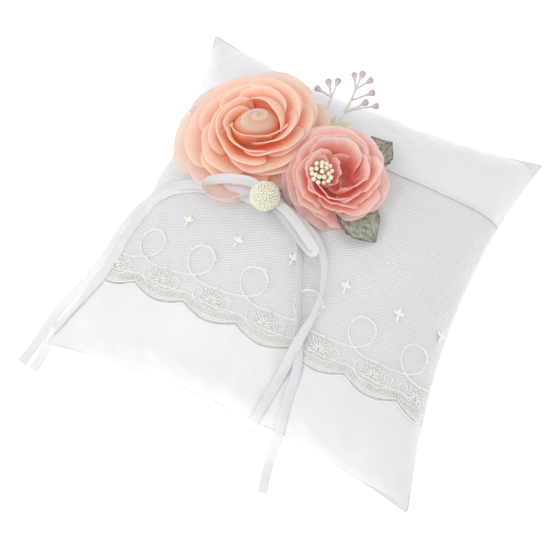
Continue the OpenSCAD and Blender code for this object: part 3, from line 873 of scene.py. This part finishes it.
def make_pillow():
    cloth = satin("satin_white", (0.87, 0.87, 0.89), (0.90, 0.90, 0.915))
    t = np.linspace(-1, 1, CELLS + 1) * HALF * CUT
    uv = np.stack(np.meshgrid(t, t), axis=-1)
    for name, grid, flip, node in (("front_panel", front, False, "satin_front_panel"),
                                   ("back_panel", back, True, "satin_back_panel")):
        panel = Piece()
        panel.grid(grid, uv, flip=flip)
        made = panel.make(name, cloth)
        thicken(made, 0.5 * MM, levels=1)
        settle(made, "satin", node)
    inner = Piece()
    shrink = np.array([0.97, 0.97, 1])
    middle = np.array([0, 0, seam_z])
    inset = 2.0 * MM
    inner.grid((front - middle) * shrink + middle - inset * UP, uv)
    lower = (back - middle) * shrink + middle + 0.4 * inset * UP
    lower[..., 2] = np.maximum(lower[..., 2], 1.2 * MM)
    inner.grid(lower, uv, flip=True)
    fibre = mottled("wadding_fibre", (0.8, 0.8, 0.79), (0.9, 0.9, 0.89), 160, 0.9)
    wadding = inner.make("wadding", fibre)
    settle(wadding, "fibre", "fibre_filling")


# ------------------------------------------------------------------ roses

def narrowed(x, y, oval):
    """Narrows plan points to oval[0] across direction oval[1], in degrees."""
    share, way = oval[0], math.radians(oval[1])
    p, q = turned(x, y, -way)
    return turned(p, share * q, way)


def shifted(place, x=0.0, y=0.0, lean=(0.0, 0.0)):
    """place moved by x and y in millimetres, where each height is set over by lean times itself."""
    def put(local):
        local = np.asarray(local, float)
        return place(local + local[..., 2:] * np.array([*lean, 0]) + np.array([x, y, 0]) * MM)
    return put


def petal(piece, place, oval, turn, half, foot, lip, slopes, curl=35, square=4.0, lap=-0.9,
          wave=0.5, twist=0.0, frill=0.0, cells=(26, 40)):
    """One petal in a rose's own axes, in millimetres and degrees.

    foot and lip are (radius, height); the petal's middle line leaves and reaches them at the
    two slopes. half is its half angle and curl turns the lip out. lap lifts one edge over the
    neighbour, twist brings one edge nearer the middle, and frill gathers the lip. The lip is
    round, and nearer to a straight cut where square is higher.
    """
    rows, cols = cells
    a = np.linspace(-1, 1, cols + 1)[None, :]
    b = np.linspace(0, 1, rows + 1)[:, None]
    phase = rng.uniform(0, 2 * np.pi, 5)
    outline = (1 - (0.96 * np.abs(a)) ** square) ** 0.3 * (1 + 0.015 * np.sin(3.7 * a + phase[0]))
    t = b * outline
    foot, lip = np.array(foot, float), np.array(lip, float)
    pull = 0.42 * np.linalg.norm(lip - foot)
    ways = [np.array([math.cos(math.radians(x)), math.sin(math.radians(x))]) * pull for x in slopes]
    knots = (foot, foot + ways[0], lip - ways[1], lip)
    shares = ((1 - t) ** 3, 3 * (1 - t) ** 2 * t, 3 * (1 - t) * t ** 2, t ** 3)
    r, z = (sum(w * k[i] for w, k in zip(shares, knots)) for i in (0, 1))
    slope = np.arctan2(np.gradient(z, axis=0), np.gradient(r, axis=0))
    rolled = np.clip((b - 0.8) / 0.2, 0, 1) ** 2 * (1 + 0.4 * np.sin(2.9 * a + phase[1]))
    dip = 0.1 * np.linalg.norm(lip - foot) * math.radians(curl) * rolled
    ripple = wave * b ** 2 * (0.65 * np.sin(4.2 * a + phase[2]) + 0.35 * np.sin(9.5 * a + phase[3]))
    gather = frill * b ** 3 * (np.sin(19 * a + phase[4]) + 0.6 * np.sin(31 * a + phase[0]))
    rise = lap * a * (0.25 + 0.75 * b) + ripple + gather - dip
    r = r - rise * np.sin(slope) + twist * a * b
    z = z + rise * np.cos(slope)
    spread = 0.62 + 0.38 * np.sin(np.pi / 2 * np.clip(b * 1.3, 0, 1))
    angle = np.radians(turn + half * a * spread)
    x, y = narrowed(r * np.cos(angle), r * np.sin(angle), oval)
    # V runs from base to lip; the petal's material paints shade at the base and a highlight at the lip
    # from it
    uv = joined(a / 2 + rng.uniform(0, 50), b)
    piece.grid(place(np.stack([x, y, z], axis=-1) * MM), uv)


def petal_ring(piece, place, oval, count, first, uneven, foot, lip, middle=(0, 0), loose=0.04, **shape):
    """count petals about middle, each a little different from the next by loose."""
    about = shifted(place, *middle)
    for k in range(count):
        grown, raised = rng.uniform(1 - loose, 1 + loose), rng.uniform(-15, 15) * loose
        petal(piece, about, oval, first + 360 * k / count + rng.uniform(-uneven, uneven), foot=foot,
              lip=(lip[0] * grown, lip[1] + raised), **shape)


def petals_of(name, material, place, oval, thickness, rings):
    piece = Piece()
    for ring in rings:
        petal_ring(piece, place, oval, **ring)
    made = piece.make(name, material)
    thicken(made, thickness * MM, offset=0)
    return made


def rolled_bud(name, material, place, oval, radius, low, high, layers, step, thickness):
    """A strip rolled tight, in millimetres: a dome that steps down at each turn of a spiral."""
    piece = Piece()
    turn = np.linspace(0, 2 * np.pi, 97)[None, :-1]
    out = np.linspace(0.02, 1, 72)[:, None]
    part = (out * layers - turn / (2 * np.pi)) % 1
    ridge = smooth_step(part / 0.8) - smooth_step((part - 0.88) / 0.12)
    z = (low + (high - low) * np.sqrt(1 - (0.985 * out) ** 2.6)
         + step * ridge * smooth_step((1.05 - out) / 0.2))
    r = radius * out * (1 + 0.02 * np.sin(3 * turn + 1.0))
    x, y = narrowed(r * np.cos(turn), r * np.sin(turn), oval)
    # V, and the colour with it, is pale on each ridge and deep in the groove behind it: a painted
    # highlight and painted shade
    shade = 0.66 + 0.32 * ridge
    piece.grid(place(np.stack([x, y, z], axis=-1) * MM), joined(2 * turn, shade), wrap=True)
    made = piece.make(name, material)
    thicken(made, thickness * MM)
    return made


def felt_disc(name, place, radius, thickness, slot, node, material):
    piece = Piece()
    t = np.linspace(0, 1, 10)[:, None]
    turn = np.linspace(0, 2 * np.pi, 49)[None, :-1]
    ragged = 1 + 0.02 * np.sin(7 * turn) + 0.012 * np.sin(19 * turn)
    for side, flip in ((1, False), (-1, True)):
        r = radius * np.sin(np.pi / 2 * t) * ragged
        z = side * thickness / 2 * np.cos(np.pi / 2 * t) ** 0.3 + 0 * turn
        points = np.stack([r * np.cos(turn), r * np.sin(turn), z], axis=-1)
        piece.grid(place(points), points[..., :2], wrap=True, flip=flip)
    return settle(piece.make(name, material), slot, node)


LARGE_OVAL = (0.92, 34)      # the rose's share of its width across this plan direction
BUD_OVAL = (0.66, 28)
SMALL_OVAL = (0.99, 20)


def make_large_rose():
    low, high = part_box("large_rose_felt")
    at = (low + high) / 2
    rose = shifted(Place(at.x, at.y, 2.4 * MM, lean=(0.06, -0.14)), lean=(0.28, 0.12))
    felt = mottled("felt_backing", rgb(236, 222, 214), rgb(246, 236, 230), 220, 0.9)
    felt_disc("large_rose_backing", Place(at.x, at.y, 1.5 * MM), 19 * MM, 1.2 * MM, "felt",
              "large_rose_felt", felt)
    sheer = petal_cloth("petal_base", rgb(242, 172, 142), rgb(249, 200, 178), rgb(252, 220, 205), 34,
                        gauze=0.22)
    outer = petal_cloth("petal_outer", rgb(242, 154, 118), rgb(250, 187, 160), rgb(253, 211, 192), 34)
    inner = petal_cloth("petal_inner", rgb(242, 144, 104), rgb(250, 181, 152), rgb(253, 209, 188), 34)
    heart = petal_cloth("petal_heart", rgb(242, 156, 120), rgb(250, 186, 158), rgb(253, 209, 188), 34)

    groups = (
        ("large_base_ring", sheer, "peach", "large_rose_base_petals", (
            dict(count=6, first=22, uneven=6, foot=(6, 0.8), lip=(37.8, 6.0), slopes=(2, 20),
                 half=44, wave=1.0, twist=1.8),)),
        ("large_outer_ring", outer, "peach", "large_rose_outer_petals", (
            dict(count=5, first=52, uneven=7, foot=(6.5, 2.2), lip=(32.4, 10.2), slopes=(6, 28),
                 curl=38, half=50, lap=-1.1, wave=0.9, twist=2.8),)),
        ("large_middle_ring", inner, "peach", "large_rose_middle_petals", (
            dict(count=5, first=14, uneven=8, foot=(6.5, 3.6), lip=(27.0, 13.6), slopes=(14, 38),
                 curl=38, half=52, lap=-1.1, wave=0.8, twist=3.0),)),
        ("large_inner_ring", inner, "peach", "large_rose_inner_petals", (
            dict(count=5, first=48, uneven=8, foot=(7, 4.4), lip=(21.6, 16.4), slopes=(26, 50),
                 curl=36, half=54, lap=-1.0, wave=0.6, twist=3.0),
            dict(count=4, first=84, uneven=7, foot=(8, 5.0), lip=(17.0, 18.4), slopes=(44, 64),
                 half=60, lap=-0.9, wave=0.4, twist=2.6))))
    for name, material, slot, node, rings in groups:
        settle(petals_of(name, material, rose, LARGE_OVAL, 0.32, rings), slot, node)

    wraps = Piece()
    for turn, half, foot, lip, slopes in (
            (262, 66, (12.0, 6), (13.8, 19.0), (84, 66)), (186, 58, (12.0, 6), (14.8, 18.8), (80, 60)),
            (320, 56, (12.4, 6), (15.2, 18.4), (80, 60))):
        petal(wraps, rose, BUD_OVAL, turn, half, foot, lip, slopes, curl=24, square=3.2, lap=-0.6,
              wave=0.25, twist=1.2)
    petal(wraps, rose, LARGE_OVAL, 64, 72, (13.6, 8), (7.4, 21.4), (80, 176), curl=0,
          square=2.4, lap=0.3, wave=0.2, cells=(36, 52))
    wrapped = wraps.make("large_bud_wraps", heart)
    thicken(wrapped, 0.35 * MM, offset=0)
    settle(wrapped, "peach_deep", "large_rose_bud_petals")
    bud = rolled_bud("large_bud", heart, rose, BUD_OVAL, 11.2, 6, 20.6, 2.2, 0.32, 0.35)
    settle(bud, "peach_deep", "large_rose_bud_core")


def make_small_rose():
    low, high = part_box("small_rose_felt")
    at = (low + high) / 2
    seat = Place(at.x - 1 * MM, at.y + 4 * MM, 3.4 * MM, lean=(0.05, -0.22))
    rose = shifted(seat, lean=(-0.05, 0.2))
    felt = bpy.data.materials["felt_backing"]
    felt_disc("small_rose_backing", Place(at.x, at.y, 2.4 * MM), 10.8 * MM, 3.0 * MM, "felt",
              "small_rose_felt", felt)
    sheer = petal_cloth("gauze_outer", rgb(238, 146, 132), rgb(247, 184, 171), rgb(252, 213, 203), 60,
                        gauze=0.25)
    fuller = petal_cloth("gauze_inner", rgb(238, 124, 108), rgb(247, 169, 154), rgb(252, 208, 197), 60,
                         gauze=0.1)
    deep = petal_cloth("gauze_heart", rgb(226, 112, 98), rgb(240, 156, 142), rgb(249, 204, 192), 60)
    groups = (
        ("small_outer_ring", sheer, "small_rose_outer_petals", (
            dict(count=6, first=15, uneven=9, foot=(5, 0.6), lip=(25.4, 3.8), slopes=(4, 20), curl=30,
                 half=48, wave=1.7, twist=1.8, frill=0.25, loose=0.07),
            dict(count=5, first=50, uneven=9, foot=(5, 1.2), lip=(22.8, 7.4), slopes=(10, 34), curl=30,
                 half=52, wave=1.5, twist=2.4, frill=0.25, loose=0.07))),
        ("small_middle_ring", fuller, "small_rose_middle_petals", (
            dict(count=5, first=20, uneven=10, foot=(6, 1.8), lip=(19.6, 10.8), slopes=(24, 52), curl=34,
                 half=58, wave=1.3, twist=2.8, frill=0.22, loose=0.07),)),
        ("small_inner_ring", fuller, "small_rose_inner_petals", (
            dict(count=5, first=58, uneven=10, foot=(7.5, 2.2), lip=(16.4, 13.4), slopes=(44, 66),
                 curl=36, half=60, wave=1.2, twist=2.6, frill=0.2, loose=0.07),
            dict(count=4, first=10, uneven=9, foot=(8.5, 2.4), lip=(13.2, 15.2), slopes=(70, 80),
                 curl=36, half=66, wave=1.0, twist=1.8, frill=0.18, loose=0.06))),
        ("small_heart_ring", deep, "small_rose_heart_petals", (
            dict(count=4, first=35, uneven=9, foot=(2.0, 2.0), lip=(6.8, 11.6), slopes=(40, 82), curl=24,
                 half=58, lap=-0.6, wave=0.9, twist=1.2, frill=0.15, middle=(-5, -3), loose=0.1),
            dict(count=3, first=100, uneven=12, foot=(1.5, 2.0), lip=(8.8, 8.8), slopes=(10, 76),
                 curl=10, half=68, lap=-0.6, wave=0.4, twist=1.2, middle=(3, 2), loose=0.06))))
    for name, material, node, rings in groups:
        settle(petals_of(name, material, rose, SMALL_OVAL, 0.16, rings), "coral", node)
    make_stamens(seat)


def make_stamens(rose):
    foot = np.array([-5.2, -2.2, 1.0])
    lean_to = np.array([-0.07, 0.0, 0])
    threads, heads = Piece(), Piece()
    for count, tilt, first in ((1, 0, 0), (7, 11, 10), (12, 21, 0)):
        for k in range(count):
            turn = math.radians(first + 360 * k / count + rng.uniform(-8, 8))
            lean = math.radians(tilt + rng.uniform(-2, 2))
            reach = 14.6 + rng.uniform(-0.8, 0.8) - 0.05 * tilt
            way = lean_to + (math.sin(lean) * math.cos(turn), math.sin(lean) * math.sin(turn),
                             math.cos(lean))
            t = np.linspace(0, 1, 7)[:, None]
            threads.tube(rose((foot + reach * t * way) * MM), 0.16 * MM, sides=6)
            heads.ball(rose((foot + reach * way) * MM), rng.uniform(1.02, 1.2) * MM, 8, 12, 1.15,
                       rose.axes @ way)
    settle(threads.make("stamen_stalks", thread_work("stamen_thread", rgb(226, 208, 140),
                                                     rgb(240, 228, 178))),
           "stamen_thread", "stamen_threads")
    settle(heads.make("stamen_tips", mottled("stamen_tip", rgb(252, 244, 214), rgb(255, 253, 238),
                                             420, 0.45, 0.00003, 0.2)),
           "stamen_head", "stamen_heads")


# ------------------------------------------------------------------ leaves and sprig

LEAF_SHAPE = ((0, 0.1), (0.14, 0.5), (0.34, 0.88), (0.56, 1.0), (0.74, 0.84), (0.88, 0.42), (1, 0.03))


def make_leaves():
    cloth = leaf_cloth("leaf_print")
    wires = Piece()
    # each leaf: its node, the turn of its midrib, its length and width, where its middle is set
    # over from its node's, and how far its tip stands up
    for name, node, spin, length, width, over, tip in (
            ("upper_leaf", "leaf_upper", -28, 26, 18, (-2, 1.5), 3),
            ("lower_leaf", "leaf_lower", -116, 27, 20, (-3.5, 1.5), 0)):
        low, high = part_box(node)
        middle = (low + high) / 2
        way = np.array([-math.sin(math.radians(spin)), math.cos(math.radians(spin))])
        foot = np.array([middle.x, middle.y]) + np.array(over) * MM - length / 2 * MM * way
        place = Place(foot[0], foot[1], 1.6 * MM, spin)
        rows, cols = 48, 24
        b = np.linspace(0, 1, rows + 1)[:, None]
        a = np.linspace(-1, 1, cols + 1)[None, :]
        profile = smooth_path(np.array(LEAF_SHAPE), 10)
        half = width / 2 * np.interp(b, profile[:, 0], profile[:, 1])
        teeth = 1 + 0.07 * (2 * np.abs((b * 8 + 0.2) % 1 - 0.5) - 0.5) * np.abs(a) ** 5
        crease = 0.22 * np.abs(a) * half
        z = 1.6 + crease + (tip - 1.5) * b ** 2 + 0.6 * np.sin(8 * b + 3 * a) * np.abs(a) ** 1.5
        points = joined(a * half * teeth, length * b, z)
        leaf = Piece()
        leaf.grid(place(points * MM), joined(a, b))
        made = leaf.make(name, cloth)
        thicken(made, 0.35 * MM, offset=0)
        settle(made, "leaf", node)
        t = np.linspace(-0.2, 0.9, 14)
        midrib = np.stack([0 * t, length * t, 1.2 + (tip - 1.5) * np.maximum(t, 0) ** 2], axis=-1)
        wires.tube(place(midrib * MM), 0.35 * MM, sides=8)
    wrapping = mottled("wrapped_wire", rgb(120, 132, 104), rgb(150, 160, 130), 300)
    settle(wires.make("leaf_wire_pair", wrapping), "wire", "leaf_wires")


# Each branch of the sprig in its own axes, then its buds: where a stalk leaves the branch, and
# the middle of the bud at the end of the stalk
SPRIG = (
    ([(-1, 3, 2), (-3, 10, 4.5), (-4.3, 16, 6.5), (-4.5, 21, 8)],
     [((-4.5, 21, 8), (-12, 22.5, 8.5)), ((-4.5, 21, 8), (-9, 28, 9)), ((-4.5, 21, 8), (-5, 29.5, 10))]),
    ([(1, 3, 2), (3.2, 10, 5), (4.4, 16, 7), (5, 23, 8.5), (4.6, 30, 9.5)],
     [((4.6, 30, 9.5), (1.2, 36.5, 10.5)), ((4.6, 30, 9.5), (4.4, 38.5, 11)),
      ((4.6, 30, 9.5), (9, 37, 10.5)), ((5, 23, 8.5), (12.4, 31, 9.5))]),
    ([(4.4, 16, 7), (7.5, 19, 7.5), (10, 21, 7.5)],
     [((7.5, 19, 7.5), (11.5, 24.5, 8.5)), ((10, 21, 7.5), (16.8, 25, 8.5))]),
)


def make_sprig():
    low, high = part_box("sprig_stem")
    at = (low + high) / 2
    place = Place(at.x, at.y - 1 * MM, 3 * MM)
    stem = Piece()
    stem.tube(place(smooth_path(np.array([(0, -12, -1), (0, -5, 0), (0, 0, 1), (0, 4, 2.5)]) * MM)),
              np.linspace(0.9, 0.65, 25) * MM, sides=10)
    green = mottled("sprig_stalk", rgb(196, 204, 160), rgb(222, 224, 196), 260, 0.6, 0.0002, 0.15)
    settle(stem.make("sprig_stalk_piece", green), "stem", "sprig_stem")
    branches, buds = Piece(), Piece()
    pale = mottled("sprig_branch", rgb(212, 208, 198), rgb(236, 230, 228), 260, 0.6, 0.0002, 0.15)
    for points, heads in SPRIG:
        path = smooth_path(np.array(points) * MM, 10)
        branches.tube(place(path), np.linspace(0.75, 0.6, len(path)) * MM, sides=8)
        for fork, middle in heads:
            fork, middle = np.array(fork), np.array(middle)
            way = unit(middle - fork)
            stalk = fork + np.linspace(0, 1, 6)[:, None] * (middle - 2.2 * way - fork)
            branches.tube(place(stalk * MM), np.linspace(0.52, 0.58, 6) * MM, sides=8)
            club = np.linspace(0, 1, 15)
            girth = np.interp(club, [0, 0.2, 0.5, 0.75, 0.9, 1], [0.55, 0.85, 1.4, 1.66, 1.3, 0.1])
            body = middle + (4.8 * club[:, None] - 2.4) * way
            buds.tube(place(body * MM), girth * rng.uniform(0.94, 1.1) * MM, sides=14, u_scale=200)
    settle(branches.make("sprig_branch_set", pale), "stem", "sprig_branches")
    settle(buds.make("sprig_bud_set", bud_skin("sprig_bud")), "bud", "sprig_buds")

    tufts = Piece()
    for k in range(26):
        turn = math.radians(rng.uniform(-60, 240))
        reach = rng.uniform(7, 16)
        height = rng.uniform(0.5, 4.5)
        b = np.linspace(0, 1, 12)[:, None]
        a = np.linspace(-1, 1, 7)[None, :]
        half = rng.uniform(1.0, 2.2) * np.sin(np.pi * (0.04 + 0.94 * b))
        off = a * half
        along = 1.5 + reach * b
        z = height + rng.uniform(1, 3) * np.sin(2.2 * b) + 0.25 * np.abs(off)
        points = joined(*turned(along, off, turn), z)
        tufts.grid(place(points * MM), joined(a + 3.0 * k, b))
    soft = petal_cloth("foliage_film", rgb(206, 202, 150), rgb(222, 220, 182), rgb(238, 236, 214), 20,
                       gauze=0.4, glow=0.3)
    made = tufts.make("sprig_tuft", soft)
    thicken(made, 0.2 * MM, offset=0)
    settle(made, "foliage", "sprig_foliage")


# ------------------------------------------------------------------ bow, ball and ribbon tails

# Routes of the tails and the bow's loops as in the CAD model, in millimetres from the knot out, with
# the angle in degrees that the ribbon is turned up from lying flat at each point
TAILS = {
    "tail_left_outer": (
        [(-25, 2.5, 65), (-38, 3, 62.5), (-50, 1, 58.5), (-54, -0.5, 57), (-61, -2, 54.5),
         (-69, -5.5, 50.5), (-76, -11, 45.5), (-82, -17, 39), (-85.5, -25.5, 36), (-89.5, -34.5, 29),
         (-93.5, -44.5, 20), (-98, -54.5, 13), (-102.5, -64.5, 7.5), (-107, -75.5, 3.5),
         (-110, -86, 1.5), (-111, -96.5, 1), (-112, -105, 1), (-113.5, -114, 1)],
        [10, 8, 8, 8, 10, 14, 18, 20, 22, 22, 20, 16, 12, 8, 6, 6, 6, 4]),
    "tail_left_inner": (
        [(-25, 0, 64), (-38, 1, 61), (-50, -1, 57), (-60, -3.5, 53), (-68.5, -7.5, 49),
         (-75, -14, 45), (-79, -23.5, 41.5), (-81, -33.5, 40), (-82.5, -44, 38), (-84.5, -56, 35.5),
         (-88.5, -66.5, 31), (-93, -77, 26), (-97.5, -88, 21), (-102, -98, 11), (-104.5, -106.5, 3),
         (-106, -115, 1)],
        [10, 8, 8, 14, 24, 34, 40, 40, 34, 28, 20, 14, 10, 6, 4, 4]),
    "tail_right_long": (
        [(-14, 0, 65.5), (-7, -4, 65.5), (1, -10, 65.5), (7, -21.5, 64.5), (13, -36, 62.5),
         (19, -50, 59), (23, -58.5, 56), (25, -67.5, 52), (26.5, -81.5, 43), (28, -91.5, 30),
         (28.5, -99, 17), (29, -105, 6), (30, -112.5, 1), (32, -121, 1)],
        [20, 30, 44, 56, 54, 44, 34, 26, 16, 8, 6, 4, 4, 4]),
    "tail_right_short": (
        [(-14, 2, 67.5), (-6, 0, 67), (2, -3, 67), (8.5, -6.5, 66.5), (12.5, -10, 66),
         (17, -16, 65), (20.5, -26.5, 64), (21.5, -33.5, 63), (21.5, -41, 62), (20.5, -47.5, 61),
         (20, -53.5, 59.5), (19.5, -60, 57), (19, -66.5, 53), (18, -74, 47.5), (17, -81, 40.5),
         (15.5, -89, 29), (14, -96, 15)],
        [10, 10, 16, 24, 34, 46, 56, 54, 46, 34, 22, 14, 10, 8, 8, 10, 8]),
}
LOOPS = {
    "bow_loop_left": (
        [(-24, 4, 67.5), (-29, 6, 69), (-36, 5, 69.5), (-43.5, 2.5, 68.5), (-49, -0.5, 67),
         (-51, -3.5, 65.5), (-49.5, -5.5, 65), (-46, -6.5, 65), (-39, -6, 66), (-32, -1, 67),
         (-25, 2, 67)],
        [30, 36, 40, 45, 60, 75, 75, 70, 64, 62, 60]),
    "bow_loop_right": (
        [(-16, 3.5, 68), (-13.5, 1, 69.5), (-8, -1, 70), (-1, -5, 70), (4.5, -8.5, 69.5),
         (8.5, -11, 69), (10, -12.5, 68.5), (8.5, -13, 67.5), (3.5, -10.5, 67.5), (-2, -7, 68),
         (-9, -3, 68), (-15, 0, 67.5)],
        [12, 12, 12, 12, 10, 6, 0, -6, -10, -12, -12, -12]),
}
RIBBON = 5 * MM             # width of the ribbon
RIBBON_T = 0.25 * MM        # and its thickness
RIBBON_EDGE = 2.2 * MM      # from its middle to the firm edge
RIBBON_GAP = 0.5 * MM       # between the ribbon and the cloth it lies on


def ribbon_strip(name, route, turns, material, cup=0.25 * MM):
    """A satin ribbon along a route, turned up by turns and laid clear of the front."""
    path = smooth_path(np.array(route) * MM, 10)
    tilt = np.radians(smooth_path(np.array(turns, float)[:, None], 10)[:, 0])
    standing = RIBBON / 2 * np.abs(np.sin(tilt))
    path = clear_of_front(path, RIBBON_GAP + 0.85 * standing)
    for _ in range(3):
        path[1:-1, 2] = 0.25 * path[:-2, 2] + 0.5 * path[1:-1, 2] + 0.25 * path[2:, 2]
    path[:, 2] = np.maximum(path[:, 2], 0.5 * MM + 0.9 * standing)
    along = unit(np.gradient(path, axis=0))
    u, v = cloth_place(path[:, 0], path[:, 1])
    under = sample(front, u, v)
    share = np.clip(1 - (path[:, 2] - under[:, 2]) / (12 * MM), 0, 1)[:, None]
    reach = np.linalg.norm(under[:, :2] - path[:, :2], axis=1)[:, None]
    share = share * (reach < 2 * MM)
    normal = unit(share * sample(front_normal, u, v) + (1 - share) * UP)
    for _ in range(12):
        normal[1:-1] = unit(normal[:-2] + 2 * normal[1:-1] + normal[2:])
    normal = square_to(along, normal)
    side = np.cross(along, normal)
    c, s = np.cos(tilt)[:, None], np.sin(tilt)[:, None]
    side, normal = c * side + s * normal, c * normal - s * side
    w = np.linspace(-1, 1, 9)
    length = run_of(path)
    ripple = 0.12 * MM * np.sin(length / (7 * MM))[:, None] * np.sin(2.6 * w)[None, :]
    bowed = cup * (1 - w[None, :] ** 2) + ripple
    points = (path[:, None, :] + RIBBON / 2 * w[None, :, None] * side[:, None, :]
              + bowed[..., None] * normal[:, None, :])
    piece = Piece()
    piece.grid(points, joined(w[None, :] * RIBBON / 2, length[:, None]))
    made = piece.make(name, material)
    thicken(made, RIBBON_T, levels=1, offset=0)
    return made, path, float(length[-1])


def make_ribbons():
    weave = ribbon_satin("ribbon_satin")
    for node, (route, turns) in LOOPS.items():
        made, _, _ = ribbon_strip(node.replace("bow_", "ribbon_"), route, turns, weave, cup=0.15 * MM)
        settle(made, "ribbon", node)
    for node, (route, turns) in TAILS.items():
        made, path, length = ribbon_strip(node.replace("tail", "ribbon"), route, turns, weave)
        settle(made, "ribbon", node)


def make_knot_and_ball():
    low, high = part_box("bead_ball_core")
    at = (low + high) / 2
    base = Place(at.x, at.y, 1.0 * MM)
    knot = Piece()
    t = np.linspace(0, 2 * np.pi, 41)
    for tilt, size, height in ((15, 4.6, 1.6), (75, 4.3, 2.2), (-40, 4.4, 1.9)):
        c, s = math.cos(math.radians(tilt)), math.sin(math.radians(tilt))
        along, lift = size * np.cos(t), height + 1.5 * np.sin(t)
        path = np.stack([along * c, along * s, lift], axis=-1) * MM
        knot.tube(base(path), 2.4 * MM, sides=10, caps=False, flat=0.5 * MM,
                  across=np.broadcast_to(base.axes @ np.array([-s, c, 0]), path.shape))
    settle(knot.make("knot_wraps", bpy.data.materials["ribbon_satin"]), "ribbon", "ribbon_knot")
    stitch = Piece()
    for side in (-1.5, 1.5):
        path = np.array([(side, 0, z) for z in np.linspace(-4, 2, 8)]) * MM
        stitch.tube(base(path), 0.22 * MM, sides=8)
    settle(stitch.make("tacking_thread", bpy.data.materials["sewing_thread"]), "thread",
           "bow_tacking_stitch")

    radius = (high.x - low.x) / 2
    ball = Place(at.x, at.y)
    ball.origin = np.array(at)
    core = Piece()
    core.ball(ball((0, 0, 0)), radius + 0.3 * MM, 20, 32)
    foam = mottled("ball_foam", rgb(250, 244, 222), rgb(254, 250, 236), 500, 0.8, glow=0.2)
    settle(core.make("ball_middle", foam), "ball_core", "bead_ball_core")
    beads = Piece()
    count = 330
    for i in range(count):
        level = 1 - 1.94 * (i + 0.5) / count
        turn = math.radians(137.508 * i)
        out = math.sqrt(max(0, 1 - level * level))
        way = np.array([out * math.cos(turn), out * math.sin(turn), level])
        way = unit(way + rng.normal(0, 0.022, 3))
        size = rng.uniform(0.56, 0.70)
        beads.ball(ball((radius / MM + 0.55 + rng.uniform(0, 0.25)) * way * MM), size * MM, 6, 9)
    settle(beads.make("ball_beads", mottled("seed_bead", rgb(252, 245, 222), rgb(255, 252, 238),
                                            380, 0.35, 0.00005, 0.2)),
           "bead", "bead_ball_beads")


def make_closing_stitches():
    """A row of slip stitches on the lower seam, where the filling went in."""
    thread = thread_work("sewing_thread", rgb(232, 232, 236), rgb(246, 246, 248), 0.0005)
    rim = sample(front, np.linspace(-0.3, 0.3, 27), np.full(27, -1.0))
    piece = Piece()
    for k, at in enumerate(rim[:-1]):
        ahead = rim[k + 1] - at
        t = np.linspace(-0.2, 1.2, 9)[:, None]
        out = np.array([0, -1, 0]) * (0.5 * MM)
        over = np.array([0, 0, 0.5 * MM]) * (1 if k % 2 else -1)
        path = at + ahead * t * 0.6 + out * np.sin(np.pi * np.clip(t, 0, 1)) + over * (2 * t - 1)
        piece.tube(path, 0.14 * MM, sides=6)
    settle(piece.make("slip_stitches", thread), "thread", "closing_stitches")


look(25.89, 74.66, -1.40, 356.3 * MM, (-3.1 * MM, -22.0 * MM, 30 * MM), 45)
studio()
make_ribbons()
make_pillow()
make_closing_stitches()
make_overlay()
make_lace()
make_large_rose()
make_small_rose()
make_leaves()
make_sprig()
make_knot_and_ball()
